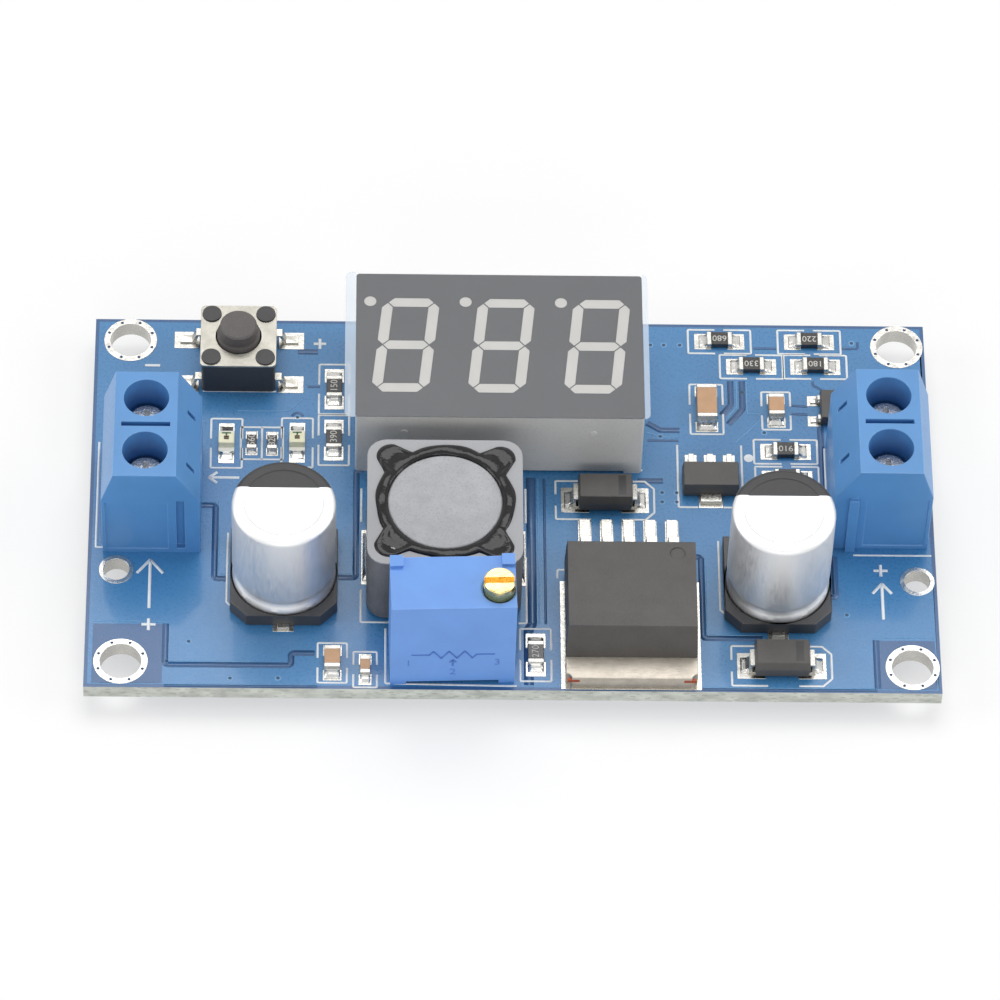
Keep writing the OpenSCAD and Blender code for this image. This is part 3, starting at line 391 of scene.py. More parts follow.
def final_colour(material):
    """A finish's tree, its shader and the socket that feeds its colour."""
    tree = material.node_tree
    shader = tree.nodes["Principled BSDF"]
    return tree, shader, shader.inputs["Base Color"].links[0].from_socket


print("finish factory ready")

# %% [markdown]
# Each row below is one slot of the part's material list. The two tall cans make their own, further
# down. Metals get almost no speckle and a soft blur. Moulded plastics get a fine bump and slightly
# lighter edges, a painted highlight where the bevels would catch light. Ferrite and moulding compound
# are full of small pale grains, which is what tells them from paint.

# %% One finish for each slot
TIN = paint(200, 198, 192)
DARK = paint(76, 74, 72)
FINISHES = {
    "tinned_copper": finish("tinned_rings", TIN, 0.26, 1, drift=0.06, drift_mm=0.8, bump=0.006, grain_mm=0.4),
    "solder": finish("bright_solder", paint(204, 203, 199), 0.26, 1, drift=0.1, drift_mm=0.6, bump=0.012,
                     grain_mm=0.35),
    # The terminal blocks' near-white lavender edge colour is a painted highlight, where the side lamps catch
    # the bevels.
    "terminal_plastic": finish("terminal_blue", paint(84, 142, 200), 0.36, drift=0.05, drift_mm=4, bump=0.003,
                               edge=0.5, edge_colour=paint(176, 208, 240)),
    "plated_steel": finish("screw_zinc", paint(205, 207, 208), 0.24, 1, drift=0.1, drift_mm=0.8,
                           squeeze=(1, 5, 1)),
    "clamp_steel": finish("clamp_zinc", paint(176, 177, 178), 0.34, 1, squeeze=(1, 1, 4)),
    "tinned_brass": finish("tinned_strip", paint(208, 205, 196), 0.3, 1, drift_mm=1),
    "switch_plastic": finish("switch_black", paint(58, 57, 58), 0.5, grain_mm=0.1,
                             edge_colour=paint(120, 120, 120)),
    "switch_steel": finish("switch_nickel", paint(168, 165, 156), 0.36, 1, drift=0.12, drift_mm=1.2,
                           bump=0.004, grain_mm=0.12, specks=0.12, speck_mm=0.25,
                           speck_colour=paint(140, 136, 126)),
    "button_plastic": finish("button_grey", paint(84, 80, 79), 0.55, grain_mm=0.08, bump=0.008, specks=0.25,
                             speck_mm=0.12, speck_colour=paint(130, 126, 124)),
    "spring_steel": finish("dome_steel", paint(190, 190, 188), 0.2, 1),
    # The trimmer's pale edge colour is a painted highlight as well.
    "trimmer_plastic": finish("trimmer_blue", paint(102, 152, 224), 0.42, drift=0.04, grain_mm=0.12,
                              bump=0.004, edge=0.45, edge_colour=paint(170, 200, 250)),
    "adjuster_brass": finish("adjuster_brass", paint(236, 206, 140), 0.24, 1, drift=0.16, drift_mm=0.7,
                             bump=0.01, grain_mm=0.3),
    "wheel_plastic": finish("wheel_white", paint(228, 224, 214), 0.45),
    "ceramic": finish("track_ceramic", paint(236, 232, 222), 0.6),
    # The shield's dark tone is painted shade on its sides; its top gets a paler tone, painted light, further
    # down.
    "shield_ferrite": finish("shield_ferrite", paint(104, 104, 106), 0.5, drift=0.16, drift_mm=1.5,
                             grain_mm=0.14, bump=0.012, specks=0.3, speck_mm=0.22,
                             speck_colour=paint(136, 136, 136),
                             edge_colour=paint(160, 160, 160)),
    "core_ferrite": finish("core_ferrite", paint(168, 169, 172), 0.46, drift=0.08, drift_mm=1.2, grain_mm=0.1,
                           bump=0.012, specks=0.55, speck_mm=0.2, speck_colour=paint(146, 147, 150)),
    "enamelled_copper": finish("winding_copper", paint(196, 110, 62), 0.25, 0.6, coat=0.6),
    "black_adhesive": finish("black_resin", paint(24, 24, 26), 0.12, drift=0.3, bump=0.02, grain_mm=0.9,
                             edge=0.05),
    "moulding_compound": finish("chip_black", DARK, 0.5, drift=0.1, drift_mm=2, grain_mm=0.08, bump=0.006,
                                specks=0.3, speck_mm=0.12, speck_colour=paint(98, 96, 94),
                                edge=0.4, edge_colour=paint(120, 118, 116)),
    "tab_copper": finish("tab_tin", paint(178, 171, 160), 0.4, 1, drift=0.12, drift_mm=1, bump=0.006,
                         edge=0.2, edge_colour=paint(226, 170, 130)),
    "lead_tin": finish("lead_tin", paint(196, 194, 188), 0.3, 1, drift_mm=0.6),
    "cap_base_plastic": finish("base_black", paint(66, 66, 68), 0.42, edge_colour=paint(110, 110, 112)),
    "led_white": finish("led_white", paint(240, 238, 226), 0.5),
    "led_resin": finish("led_resin", paint(244, 240, 204), 0.18, coat=0.5, drift=0.05, drift_mm=0.8),
    "resistor_glaze": finish("resistor_black", paint(44, 42, 42), 0.22, coat=0.3, drift=0.1, drift_mm=0.8),
    "capacitor_ceramic": finish("capacitor_tan", paint(196, 154, 116), 0.4, drift=0.07, drift_mm=0.8,
                                specks=0.2, speck_mm=0.15, speck_colour=paint(170, 128, 92)),
    "display_plastic": finish("display_grey", paint(216, 214, 209), 0.46, drift=0.05, drift_mm=5, bump=0.004,
                              specks=0.12, speck_mm=0.35, speck_colour=paint(166, 163, 158)),
    "display_ink": finish("display_ink", paint(84, 84, 86), 0.4, drift=0.03, drift_mm=6, bump=0.002,
                          edge=0.1),
    "segment_resin": finish("segment_milk", paint(196, 194, 190), 0.34, drift=0.03, edge=0.0),
    "display_laminate": finish("display_laminate", paint(88, 130, 80), 0.5),
}
print(len(FINISHES), "finishes")

# %% [markdown]
# ## Dressing a solid
# The solid model's meshes are loose triangles with knife edges. No moulded or pressed part has those:
# a rounded edge is what catches the light. So each node is copied, its triangles are joined into
# faces, and a bevel rounds what is sharp. The copy takes the node's place and rides on its body.

# %% Dress a node
CREASE = math.radians(34)
SAME_PLACE = 0.0002 * MM
SAME_PLANE = math.radians(0.4)


def joined_mesh(node):
    """A node's mesh with its doubled corners merged and its flat faces made whole."""
    mesh = frame["nodes"][node].data.copy()
    shape = bmesh.new()
    shape.from_mesh(mesh)
    bmesh.ops.remove_doubles(shape, verts=shape.verts, dist=SAME_PLACE)
    bmesh.ops.dissolve_limit(shape, angle_limit=SAME_PLANE, verts=shape.verts, edges=shape.edges)
    shape.to_mesh(mesh)
    shape.free()
    return mesh


def soften(obj, radius, segments=2):
    """Round the sharp edges of an object and shade the rest smoothly."""
    for face in obj.data.polygons:
        face.use_smooth = True
    obj.data.set_sharp_from_angle(angle=CREASE)
    if radius:
        bevel = obj.modifiers.new("round_edges", "BEVEL")
        bevel.width = radius * MM
        bevel.segments = segments
        bevel.limit_method = "ANGLE"
        bevel.angle_limit = CREASE
    even = obj.modifiers.new("flat_faces", "WEIGHTED_NORMAL")
    even.keep_sharp = True


def add_piece(name, mesh, material, body, replaces=()):
    """Put a finished mesh in the scene on a body, with its material slot."""
    obj = bpy.data.objects.new(name, mesh)
    scene.collection.objects.link(obj)
    mesh.materials.clear()
    mesh.materials.append(material)
    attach(obj, body)
    if replaces:
        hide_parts(*replaces)
    return obj


def dress(node, radius, material=None, segments=2):
    """The bevelled copy of a node that stands in its place."""
    slot = slot_of[node]
    coat = material or FINISHES[slot]
    obj = add_piece("fine_" + node, joined_mesh(node), coat, body_of[node], (node,))
    soften(obj, radius, segments)
    return obj


print("dressing helpers ready, crease at", round(math.degrees(CREASE)), "degrees")

# %% [markdown]
# Most nodes need only this. The number beside each is the radius of its edges in millimetres: a
# tenth on big mouldings, a few hundredths on leads and lands, none on wire and hidden pieces. The
# switch's dome spring is left undressed, because it gives under the button.

# %% Dress the plain nodes
EDGE_RADIUS = {
    "output_terminal_housing": 0.09, "input_terminal_housing": 0.09,
    "output_terminal_contacts": 0.03, "input_terminal_contacts": 0.03,
    "output_screw_1": 0.05, "output_screw_2": 0.05, "input_screw_1": 0.05, "input_screw_2": 0.05,
    "output_clamp_1": 0.05, "output_clamp_2": 0.05, "input_clamp_1": 0.05, "input_clamp_2": 0.05,
    "switch_base": 0.06, "switch_cover": 0.05, "switch_button": 0.12, "switch_leads": 0.03,
    "trimmer_case": 0.09, "trimmer_screw": 0.05, "trimmer_wheel": 0.0, "trimmer_element": 0.0,
    "trimmer_pins": 0.0,
    "inductor_shield": 0.09, "inductor_core": 0.05, "inductor_winding": 0.0, "inductor_terminals": 0.03,
    "regulator_body": 0.06, "regulator_tab": 0.05, "regulator_leads": 0.04,
    "output_capacitor_can": 0.05, "input_capacitor_can": 0.05,
    "output_capacitor_base": 0.08, "input_capacitor_base": 0.08, "capacitor_leads": 0.03,
    "catch_diode": 0.05, "input_diode": 0.05, "diode_leads": 0.03,
    "meter_regulator": 0.05, "meter_regulator_leads": 0.03, "transistor": 0.04, "transistor_leads": 0.02,
    "led_bases": 0.03, "led_lenses": 0.06, "resistors": 0.03, "ceramic_capacitors": 0.04, "chip_ends": 0.05,
    "display_housing": 0.07, "display_face": 0.02, "display_segments": 0.02, "display_board": 0.0,
    "display_pins": 0.0, "meter_chip": 0.05, "meter_chip_leads": 0.0,
    "mounting_rings": 0.02, "solder_pads": 0.02, "solder_joints": 0.0,
}
CAN_NODES = ("output_capacitor_can", "input_capacitor_can")
dressed = {node: dress(node, radius) for node, radius in EDGE_RADIUS.items() if node not in CAN_NODES}
spring = frame["nodes"]["switch_dome"]
spring.data.materials.clear()
spring.data.materials.append(FINISHES[slot_of["switch_dome"]])
print(len(dressed), "nodes dressed, and", spring.name, "left as it is")

# %% [markdown]
# ## The two tall capacitors
# A drawn can is bright and nearly white. A dark field printed on the far part of its lid marks the
# negative side. The lid's print is a mask on object coordinates: everything on the lid beyond a
# straight line takes the dark ink. Each can has its own material, because each has its own place.

# %% Cans with a printed lid
MARK_LINE = 0.36
LID_DEPTH = 0.22
CAN_METAL = 0.8
INK = paint(44, 44, 46)


def above(tree, value, limit, soft):
    """A mask that rises from 0 to 1 as a value passes a limit."""
    return remap(tree, value, from_low=limit - soft, from_high=limit + soft)


def object_axes(tree):
    """The object coordinates of a surface, as three values."""
    coords = tree.nodes.new("ShaderNodeTexCoord")
    split = tree.nodes.new("ShaderNodeSeparateXYZ")
    tree.links.new(coords.outputs["Object"], split.inputs[0])
    return split.outputs


def can_finish(node):
    """Aluminium with a dark field on the far part of the lid."""
    low, high = box_mm(node)
    middle, radius = (low + high) / 2, (high.x - low.x) / 2
    material = finish("aluminium_" + node, paint(226, 227, 228), 0.46, CAN_METAL, drift=0.03, bump=0.002,
                      squeeze=(1, 1, 0.15), edge=0.1)
    tree, shader, tone = final_colour(material)
    axis = object_axes(tree)
    far = above(tree, axis["Y"], (middle.y + MARK_LINE * radius) * MM, 0.02 * MM)
    lid = above(tree, axis["Z"], (high.z - LID_DEPTH) * MM, 0.03 * MM)
    mask = maths(tree, "MULTIPLY", far, lid)
    tree.links.new(mix_colour(tree, mask, tone, INK), shader.inputs["Base Color"])
    tree.links.new(remap(tree, mask, CAN_METAL, 0.0), shader.inputs["Metallic"])
    return material


for node in CAN_NODES:
    dress(node, EDGE_RADIUS[node], can_finish(node))
    print(node, [round(v, 2) for v in box_mm(node)[1] - box_mm(node)[0]], "mm")

# %% [markdown]
# ## The bare board
# The board is a slab of woven glass and resin under blue solder mask. Its cut edge is pale and
# mottled, its plated holes are tinned inside, and its faces are blue. One mesh carries three
# materials, chosen for each face by where the face points and how far it lies from the rim.

# %% Board slab
GAP_BLUE = paint(52, 92, 138)
POUR_BLUE = paint(64, 126, 178)
board_gap = finish("mask_over_laminate", GAP_BLUE, 0.32, coat=0.25, drift=0.06, drift_mm=5, bump=0.002,
                   edge=0.0)
board_edge = finish("cut_laminate", paint(196, 200, 192), 0.7, drift=0.2, drift_mm=0.7, grain_mm=0.2,
                    bump=0.02, specks=0.5, speck_mm=0.35, speck_colour=paint(150, 156, 150),
                    squeeze=(0.4, 0.4, 1), edge=0.1)
RIM = 0.05
RIM_SLOT, HOLE_SLOT = 1, 2


def dress_board():
    """The slab, with pale edges and tinned holes."""
    obj = dress("board", 0.0, board_gap)
    mesh = obj.data
    mesh.materials.append(board_edge)
    mesh.materials.append(FINISHES["tinned_copper"])
    low, high = BOARD_LOW * MM, BOARD_HIGH * MM
    for face in mesh.polygons:
        if abs(face.normal.z) > 0.5:
            continue
        at = face.center
        rim = min(at.x - low.x, high.x - at.x, at.y - low.y, high.y - at.y) < RIM * MM
        face.material_index = RIM_SLOT if rim else HOLE_SLOT
    return obj


board = dress_board()
print("board faces", len(board.data.polygons))

# %% [markdown]
# ## Lines on the board
# Copper tracks, gaps between copper fields and the white printed outlines are all the same shape: a
# flat band of one width along a path. One Geometry Nodes tree draws it. It turns the path's edges
# into a curve, rounds the corners a little, sweeps a flat rectangle along it and sets the material.

# %% Band tree
def group_input(group, label, kind, value=None):
    """A named input on a Geometry Nodes group."""
    socket = group.interface.new_socket(label, in_out="INPUT", socket_type=kind)
    if value is not None:
        socket.default_value = value
    return socket


def build_band_tree():
    """Mesh edges in, a flat band along them out."""
    group = bpy.data.node_groups.new("flat_band", "GeometryNodeTree")
    group_input(group, "Geometry", "NodeSocketGeometry")
    group_input(group, "Width", "NodeSocketFloat", 0.0002)
    group_input(group, "Thickness", "NodeSocketFloat", 0.00002)
    group_input(group, "Corner", "NodeSocketFloat", 0.0001)
    group_input(group, "Material", "NodeSocketMaterial")
    group.interface.new_socket("Geometry", in_out="OUTPUT", socket_type="NodeSocketGeometry")
    make, link = group.nodes.new, group.links.new
    entry, result = make("NodeGroupInput"), make("NodeGroupOutput")
    curve, fillet = make("GeometryNodeMeshToCurve"), make("GeometryNodeFilletCurve")
    aim = make("GeometryNodeSetCurveNormal")
    fillet.mode = "POLY"
    aim.mode = "Z_UP"
    section, sweep = make("GeometryNodeCurvePrimitiveQuadrilateral"), make("GeometryNodeCurveToMesh")
    real, coat = make("GeometryNodeRealizeInstances"), make("GeometryNodeSetMaterial")
    link(entry.outputs["Geometry"], curve.inputs[0])
    link(curve.outputs[0], fillet.inputs["Curve"])
    fillet.inputs["Count"].default_value = 3
    link(entry.outputs["Corner"], fillet.inputs["Radius"])
    fillet.inputs["Limit Radius"].default_value = True
    link(fillet.outputs[0], aim.inputs[0])
    link(entry.outputs["Width"], section.inputs["Width"])
    link(entry.outputs["Thickness"], section.inputs["Height"])
    link(aim.outputs[0], sweep.inputs["Curve"])
    link(section.outputs[0], sweep.inputs["Profile Curve"])
    sweep.inputs["Fill Caps"].default_value = True
    link(sweep.outputs[0], real.inputs[0])
    link(real.outputs[0], coat.inputs["Geometry"])
    link(entry.outputs["Material"], coat.inputs["Material"])
    link(coat.outputs[0], result.inputs[0])
    return group


BAND = build_band_tree()
print("tree", BAND.name, "with", len(BAND.nodes), "nodes")

# %% Bands along paths
def baked(name, mesh, tree, values):
    """The plain mesh that a Geometry Nodes tree makes from a mesh, with its inputs set."""
    source = bpy.data.objects.new(name + "_source", mesh)
    scene.collection.objects.link(source)
    modifier = source.modifiers.new("tree", "NODES")
    modifier.node_group = tree
    for item in tree.interface.items_tree:
        if item.item_type == "SOCKET" and item.in_out == "INPUT" and item.name in values:
            modifier[item.identifier] = values[item.name]
    view = bpy.context.evaluated_depsgraph_get()
    made = bpy.data.meshes.new_from_object(source.evaluated_get(view))
    bpy.data.objects.remove(source)
    made.name = name
    return made


def path_mesh(paths, z):
    """Edges along open or closed paths, all at one height. A closed path repeats its first point."""
    points, edges = [], []
    for path in paths:
        closed = path[0] == path[-1]
        first = len(points)
        points += [(x * MM, y * MM, z * MM) for x, y in (path[:-1] if closed else path)]
        last = len(points) - 1
        edges += [(i, i + 1) for i in range(first, last)]
        if closed:
            edges.append((last, first))
    mesh = bpy.data.meshes.new("paths")
    mesh.from_pydata(points, edges, [])
    return mesh


def bands(name, paths, width, lift, material, corner=0.12, thick=0.02):
    """Flat bands that stand on the board's top, lifted a little, on the root body."""
    z = TOP + lift + thick / 2
    values = {"Width": width * MM, "Thickness": thick * MM, "Corner": corner * MM, "Material": material}
    made = baked(name, path_mesh(paths, z), BAND, values)
    obj = add_piece(name, made, material, "root")
    print(name, len(paths), "paths", len(made.polygons), "faces")
    return obj


print("band maker ready")

# %% [markdown]
# ## Copper under the mask
# The mask is lighter where copper lies under it. Most of this board is one copper field, split by
# narrow gaps round the tracks. It is easier to lay one thin field over the slab and draw the gaps on
# it as dark bands. Beside many gaps a thin pale band is a painted highlight, where light would catch
# the mask stepping down.

# %% Copper field
FIELD = 0.012
FIELD_IN = 0.28
SUNK = 0.004
HOLE_SIDES = 48
MOUNT_X, MOUNT_Y = 30.5, 15.5
pour = finish("mask_over_copper", POUR_BLUE, 0.3, coat=0.3, drift=0.05, drift_mm=6, grain_mm=0.25, bump=0.003,
              edge=0.0)
MOUNTS = [(x, y) for x in (-MOUNT_X, MOUNT_X) for y in (-MOUNT_Y, MOUNT_Y)]
HOLES = [(x, y, 2.1) for x, y in MOUNTS] + [(-31.05, -6.86, 1.3), (31.2, -7.37, 1.3)]


def field_mesh(low_x, low_y, high_x, high_y, base, thick, holes):
    """A thin rectangular plate with round holes, as a closed shell."""
    shape = bmesh.new()
    corners = [(low_x, low_y), (high_x, low_y), (high_x, high_y), (low_x, high_y)]
    loops = [corners]
    for x, y, r in holes:
        loops.append([(x + r * math.cos(a), y + r * math.sin(a))
                      for a in (math.tau * i / HOLE_SIDES for i in range(HOLE_SIDES))])
    edges = []
    for loop in loops:
        verts = [shape.verts.new((x * MM, y * MM, base * MM)) for x, y in loop]
        edges += [shape.edges.new((verts[i - 1], verts[i])) for i in range(len(verts))]
    bmesh.ops.triangle_fill(shape, edges=edges, use_beauty=True, use_dissolve=False)
    flat = list(shape.faces)
    bmesh.ops.recalc_face_normals(shape, faces=flat)
    grown = bmesh.ops.extrude_face_region(shape, geom=flat)
    top = [v for v in grown["geom"] if isinstance(v, bmesh.types.BMVert)]
    bmesh.ops.translate(shape, verts=top, vec=(0, 0, thick * MM))
    bmesh.ops.recalc_face_normals(shape, faces=shape.faces)
    mesh = bpy.data.meshes.new("field")
    shape.to_mesh(mesh)
    shape.free()
    return mesh


field_plate = field_mesh(BOARD_LOW.x + FIELD_IN, BOARD_LOW.y + FIELD_IN, BOARD_HIGH.x - FIELD_IN,
                         BOARD_HIGH.y - FIELD_IN, TOP - SUNK, FIELD + SUNK, HOLES)
copper_field = add_piece("copper_field", field_plate, pour, "root")
print("field", len(copper_field.data.polygons), "faces")

# %% Gaps in the copper
GAPS = [
    [(-27.1, -11.95), (-27.1, -15.76), (-17.4, -15.76), (-17.4, -14.6), (-15.6, -14.6)],
    [(-24.65, -0.64), (-23.45, -0.64), (-23.45, -7.65), (-22.4, -7.65)],
    [(-13.83, -7.46), (-12.47, -7.46), (-12.47, 2.86), (-11.9, 2.86)],
    [(13.9, -5.2), (14.4, -5.2), (14.4, -12.9), (19.0, -12.9)],
    [(24.8, -5.05), (24.8, -8.93), (24.3, -8.93)],
    [(27.75, -12.95), (27.75, -17.5)],
    [(24.15, 8.2), (24.15, 1.6)],
    [(10.45, 7.75), (11.5, 7.06), (13.0, 7.06)],
    [(17.14, 11.96), (17.14, 9.63), (16.4, 8.6)],
    [(18.05, 11.97), (18.05, 9.2), (16.9, 7.7)],
    [(-17.2, 14.5), (-15.6, 14.5)],
    [(9.6, 2.1), (11.6, 2.1)],
]
FINE_GAPS = [
    [(2.25, 2.2), (2.25, -11.7)], [(10.45, 6.04), (12.9, 6.04)], [(19.09, 15.25), (20.9, 15.25)],
    [(26.1, 15.3), (27.4, 15.3), (27.4, 15.95)], [(21.93, 9.6), (23.2, 9.5)], [(21.9, 8.78), (23.2, 8.72)],
    [(23.7, 12.0), (23.7, 11.6), (24.5, 11.1)], [(-16.4, 11.03), (-15.4, 11.03)],
    [(-27.1, -17.72), (-15.4, -17.72)], [(12.5, -17.66), (27.7, -17.66)],
    [(-17.6, 8.1), (-17.4, 8.36), (-17.15, 8.45), (-16.9, 8.36), (-16.7, 8.1)],
]
HIGHLIGHT_EDGES = [
    [(-27.1, -15.46), (-20.6, -15.46)], [(-24.65, -0.33), (-23.15, -0.33), (-23.15, -7.25), (-22.15, -7.25)],
    [(-13.83, -7.13), (-12.8, -7.13)], [(-32.7, -11.72), (-27.0, -11.72)], [(27.6, -12.7), (32.4, -12.7)],
    [(14.72, -5.3), (14.72, -12.6), (18.9, -12.6)], [(17.6, 11.96), (17.6, 9.45), (16.7, 8.2)],
    [(18.4, 11.9), (18.4, 8.8), (19.4, 8.7)], [(19.4, 8.1), (17.4, 5.9)],
    [(10.46, 6.84), (11.5, 6.4), (12.9, 6.4)],
    [(1.75, 2.2), (1.75, -11.7)], [(-27.1, -17.6), (-15.4, -17.6)], [(12.5, -17.52), (27.7, -17.52)],
    [(-21.9, 8.6), (-17.9, 8.6), (-16.6, 9.9)],
]
# Pale mask blue: along the copper gaps it is a painted highlight on the mask's step; round the vias it is the
# mask over each via's copper ring.
highlight_and_ring_blue = finish("mask_highlight_and_ring", paint(104, 160, 206), 0.3, coat=0.3, edge=0.0)
bands("copper_gaps", GAPS, 0.5, FIELD, board_gap, corner=0.25)
WIDE_GAP = [(1.2, 2.3), (1.2, -11.7), (0.9, -12.3), (0.9, -17.4)]
bands("wide_gap", [WIDE_GAP], 0.75, FIELD, board_gap, corner=0.3)
bands("fine_gaps", FINE_GAPS, 0.2, FIELD, board_gap)
bands("painted_highlight_edges", HIGHLIGHT_EDGES, 0.09, FIELD, highlight_and_ring_blue)
for index, (x0, y0, x1, y1, hole) in enumerate(((-32.7, -17.5, -27.3, -12.0, HOLES[0]),
                                                (27.9, -17.5, 32.3, -13.0, HOLES[2]))):
    plate = field_mesh(x0, y0, x1, y1, TOP + FIELD - SUNK, 0.014, [hole])
    add_piece(f"bare_corner_{index + 1}", plate, board_gap, "root")

# %% [markdown]
# ## Plated holes too small for wires
# A via is a tinned hole a third of a millimetre wide, mostly filled by mask: a shallow dark dot in a
# pale ring. The wide mounting rings are stitched with eight of them each. A second tree puts a ring
# and a dot on every point of a mesh, so the places are the only thing that differs.

# %% Via tree
def build_stud_tree():
    """Points in, a low turned stud on each out."""
    group = bpy.data.node_groups.new("low_studs", "GeometryNodeTree")
    group_input(group, "Geometry", "NodeSocketGeometry")
    group_input(group, "Radius", "NodeSocketFloat", 0.0003)
    group_input(group, "Height", "NodeSocketFloat", 0.00003)
    group_input(group, "Sides", "NodeSocketInt", 20)
    group_input(group, "Material", "NodeSocketMaterial")
    group.interface.new_socket("Geometry", in_out="OUTPUT", socket_type="NodeSocketGeometry")
    make, link = group.nodes.new, group.links.new
    entry, result = make("NodeGroupInput"), make("NodeGroupOutput")
    points, stud = make("GeometryNodeMeshToPoints"), make("GeometryNodeMeshCone")
    place, slim = make("GeometryNodeInstanceOnPoints"), make("ShaderNodeMath")
    real, coat = make("GeometryNodeRealizeInstances"), make("GeometryNodeSetMaterial")
    slim.operation = "MULTIPLY"
    slim.inputs[1].default_value = 0.8
    link(entry.outputs["Geometry"], points.inputs[0])
    link(entry.outputs["Sides"], stud.inputs["Vertices"])
    link(entry.outputs["Radius"], stud.inputs["Radius Bottom"])
    link(entry.outputs["Radius"], slim.inputs[0])
    link(slim.outputs[0], stud.inputs["Radius Top"])
    link(entry.outputs["Height"], stud.inputs["Depth"])
    link(points.outputs[0], place.inputs["Points"])
    link(stud.outputs["Mesh"], place.inputs["Instance"])
    link(place.outputs[0], real.inputs[0])
    link(real.outputs[0], coat.inputs["Geometry"])
    link(entry.outputs["Material"], coat.inputs["Material"])
    link(coat.outputs[0], result.inputs[0])
    return group


STUD = build_stud_tree()
print("tree", STUD.name, "with", len(STUD.nodes), "nodes")


# %% Vias and ring stitches
def studs(name, places, radius, lift, height, material, sides=20):
    """A low stud at each place on the board's top."""
    mesh = bpy.data.meshes.new("places")
    mesh.from_pydata([(x * MM, y * MM, (TOP + lift) * MM) for x, y in places], [], [])
    made = baked(name, mesh, STUD, {"Radius": radius * MM, "Height": height * MM, "Sides": sides,
                                    "Material": material})
    print(name, len(places), "places")
    return add_piece(name, made, material, "root")


VIAS = [(10.87, 15.5), (11.93, 15.5), (13.2, 15.5), (26.93, 15.85), (11.47, 6.45), (18.04, 10.85),
        (19.7, 6.9), (-22.06, -17.0), (-18.38, -16.95), (-17.15, 8.0), (11.5, 0.97), (12.65, 0.97),
        (11.5, 0.07), (12.65, 0.07), (-26.1, 6.1), (-25.2, 9.2), (24.9, 0.4), (-10.9, 3.6), (25.6, -10.6),
        (-25.3, -13.6)]
RING_R = 1.84
STITCH_COUNT = 8
STITCHES = [(x + RING_R * math.cos(a), y + RING_R * math.sin(a)) for x, y in MOUNTS
            for a in (math.tau * (i + 0.5) / STITCH_COUNT for i in range(STITCH_COUNT))]
via_dark = finish("via_dark", paint(44, 66, 96), 0.5, edge=0)
studs("via_rims", VIAS, 0.26, FIELD, 0.02, highlight_and_ring_blue)
studs("via_dots", VIAS, 0.15, FIELD + 0.018, 0.012, via_dark)
studs("ring_stitches", STITCHES, 0.13, 0.05, 0.012, via_dark, 12)

# %% [markdown]
# ## Solder at the chips
# Solder climbs the ends of every chip in a hollow curve. The solid model has plain wedges there. A
# copy with its faces split and pulled in at mid height gives the hollow, which is what puts a thin
# bright line at each end.

# %% Hollow solder fillets
HOLLOW = 0.16


def islands(mesh):
    """The separate pieces of a mesh, each as a list of its corner numbers."""
    shape = bmesh.new()
    shape.from_mesh(mesh)
    shape.verts.ensure_lookup_table()
    seen, found = set(), []
    for start in shape.verts:
        if start.index in seen:
            continue
        group, to_visit = [], [start]
        seen.add(start.index)
        while to_visit:
            vert = to_visit.pop()
            group.append(vert.index)
            for edge in vert.link_edges:
                other = edge.other_vert(vert)
                if other.index not in seen:
                    seen.add(other.index)
                    to_visit.append(other)
        found.append(group)
    shape.free()
    return found


def extent(places):
    """Lowest and highest corner of some places."""
    low = Vector([min(p[k] for p in places) for k in range(3)])
    high = Vector([max(p[k] for p in places) for k in range(3)])
    return low, high


def island_boxes(node):
    """Middle and size of each separate solid of a node, in millimetres, in a steady order."""
    mesh = joined_mesh(node)
    rows = []
    for group in islands(mesh):
        low, high = extent([mesh.vertices[i].co / MM for i in group])
        rows.append(((low + high) / 2, high - low))
    return sorted(rows, key=lambda row: (round(row[0].x, 2), round(row[0].y, 2)))


def hollow_fillets():
    """The solder wedges with a curved, hollow face."""
    mesh = joined_mesh("solder_fillets")
    shape = bmesh.new()
    shape.from_mesh(mesh)
    bmesh.ops.triangulate(shape, faces=shape.faces)
    bmesh.ops.subdivide_edges(shape, edges=shape.edges, cuts=3, use_grid_fill=True)
    shape.to_mesh(mesh)
    shape.free()
    for group in islands(mesh):
        points = [mesh.vertices[i] for i in group]
        low, high = extent([p.co for p in points])
        middle, size = (low + high) / 2, high - low
        for point in points:
            rise = (point.co.z - low.z) / max(size.z, 1e-9)
            pull = 1 - HOLLOW * 4 * rise * (1 - rise)
            across = 0 if size.x > size.y else 1
            point.co[across] = middle[across] + (point.co[across] - middle[across]) * pull
            point.co.z = low.z + (point.co.z - low.z) * (1 - 0.5 * HOLLOW * rise)
    return mesh


fillets = add_piece("fine_solder_fillets", hollow_fillets(), FINISHES["solder"], "root",
                    ("solder_fillets",))
for face in fillets.data.polygons:
    face.use_smooth = True
fillets.data.set_sharp_from_angle(angle=math.radians(50))
print("fillets", len(fillets.data.polygons), "faces")

# %% [markdown]
# ## White print
# White ink outlines every part's place, so the fitter knows what goes where. The outlines are flat
# bands of one width. Where the real board has names and words, this one has plain signs: an arrow for
# the way the current goes, a plus at the positive ends and a dot at a first pin.

# %% Outlines
INK_LIFT = 0.016
INK_W = 0.17
LAMP_BOX = (2.45, 4.8)
LYING_BOX = (5.0, 2.35)
STANDING_BOX = (2.4, 4.9)
SIDE_GAP, END_GAP = 0.9, 0.7
SMALL_CHIP = 1.1
STEP_OUT = 0.42
CAN_LINE_FAR, CAN_CORNER, LINE_END = 8.6, 2.0, 0.25
white_ink = finish("white_print", paint(236, 240, 242), 0.55, drift=0.06, drift_mm=1, grain_mm=0.12,
                   bump=0.006, specks=0.12, speck_mm=0.25, speck_colour=paint(186, 204, 220), edge=0.0)


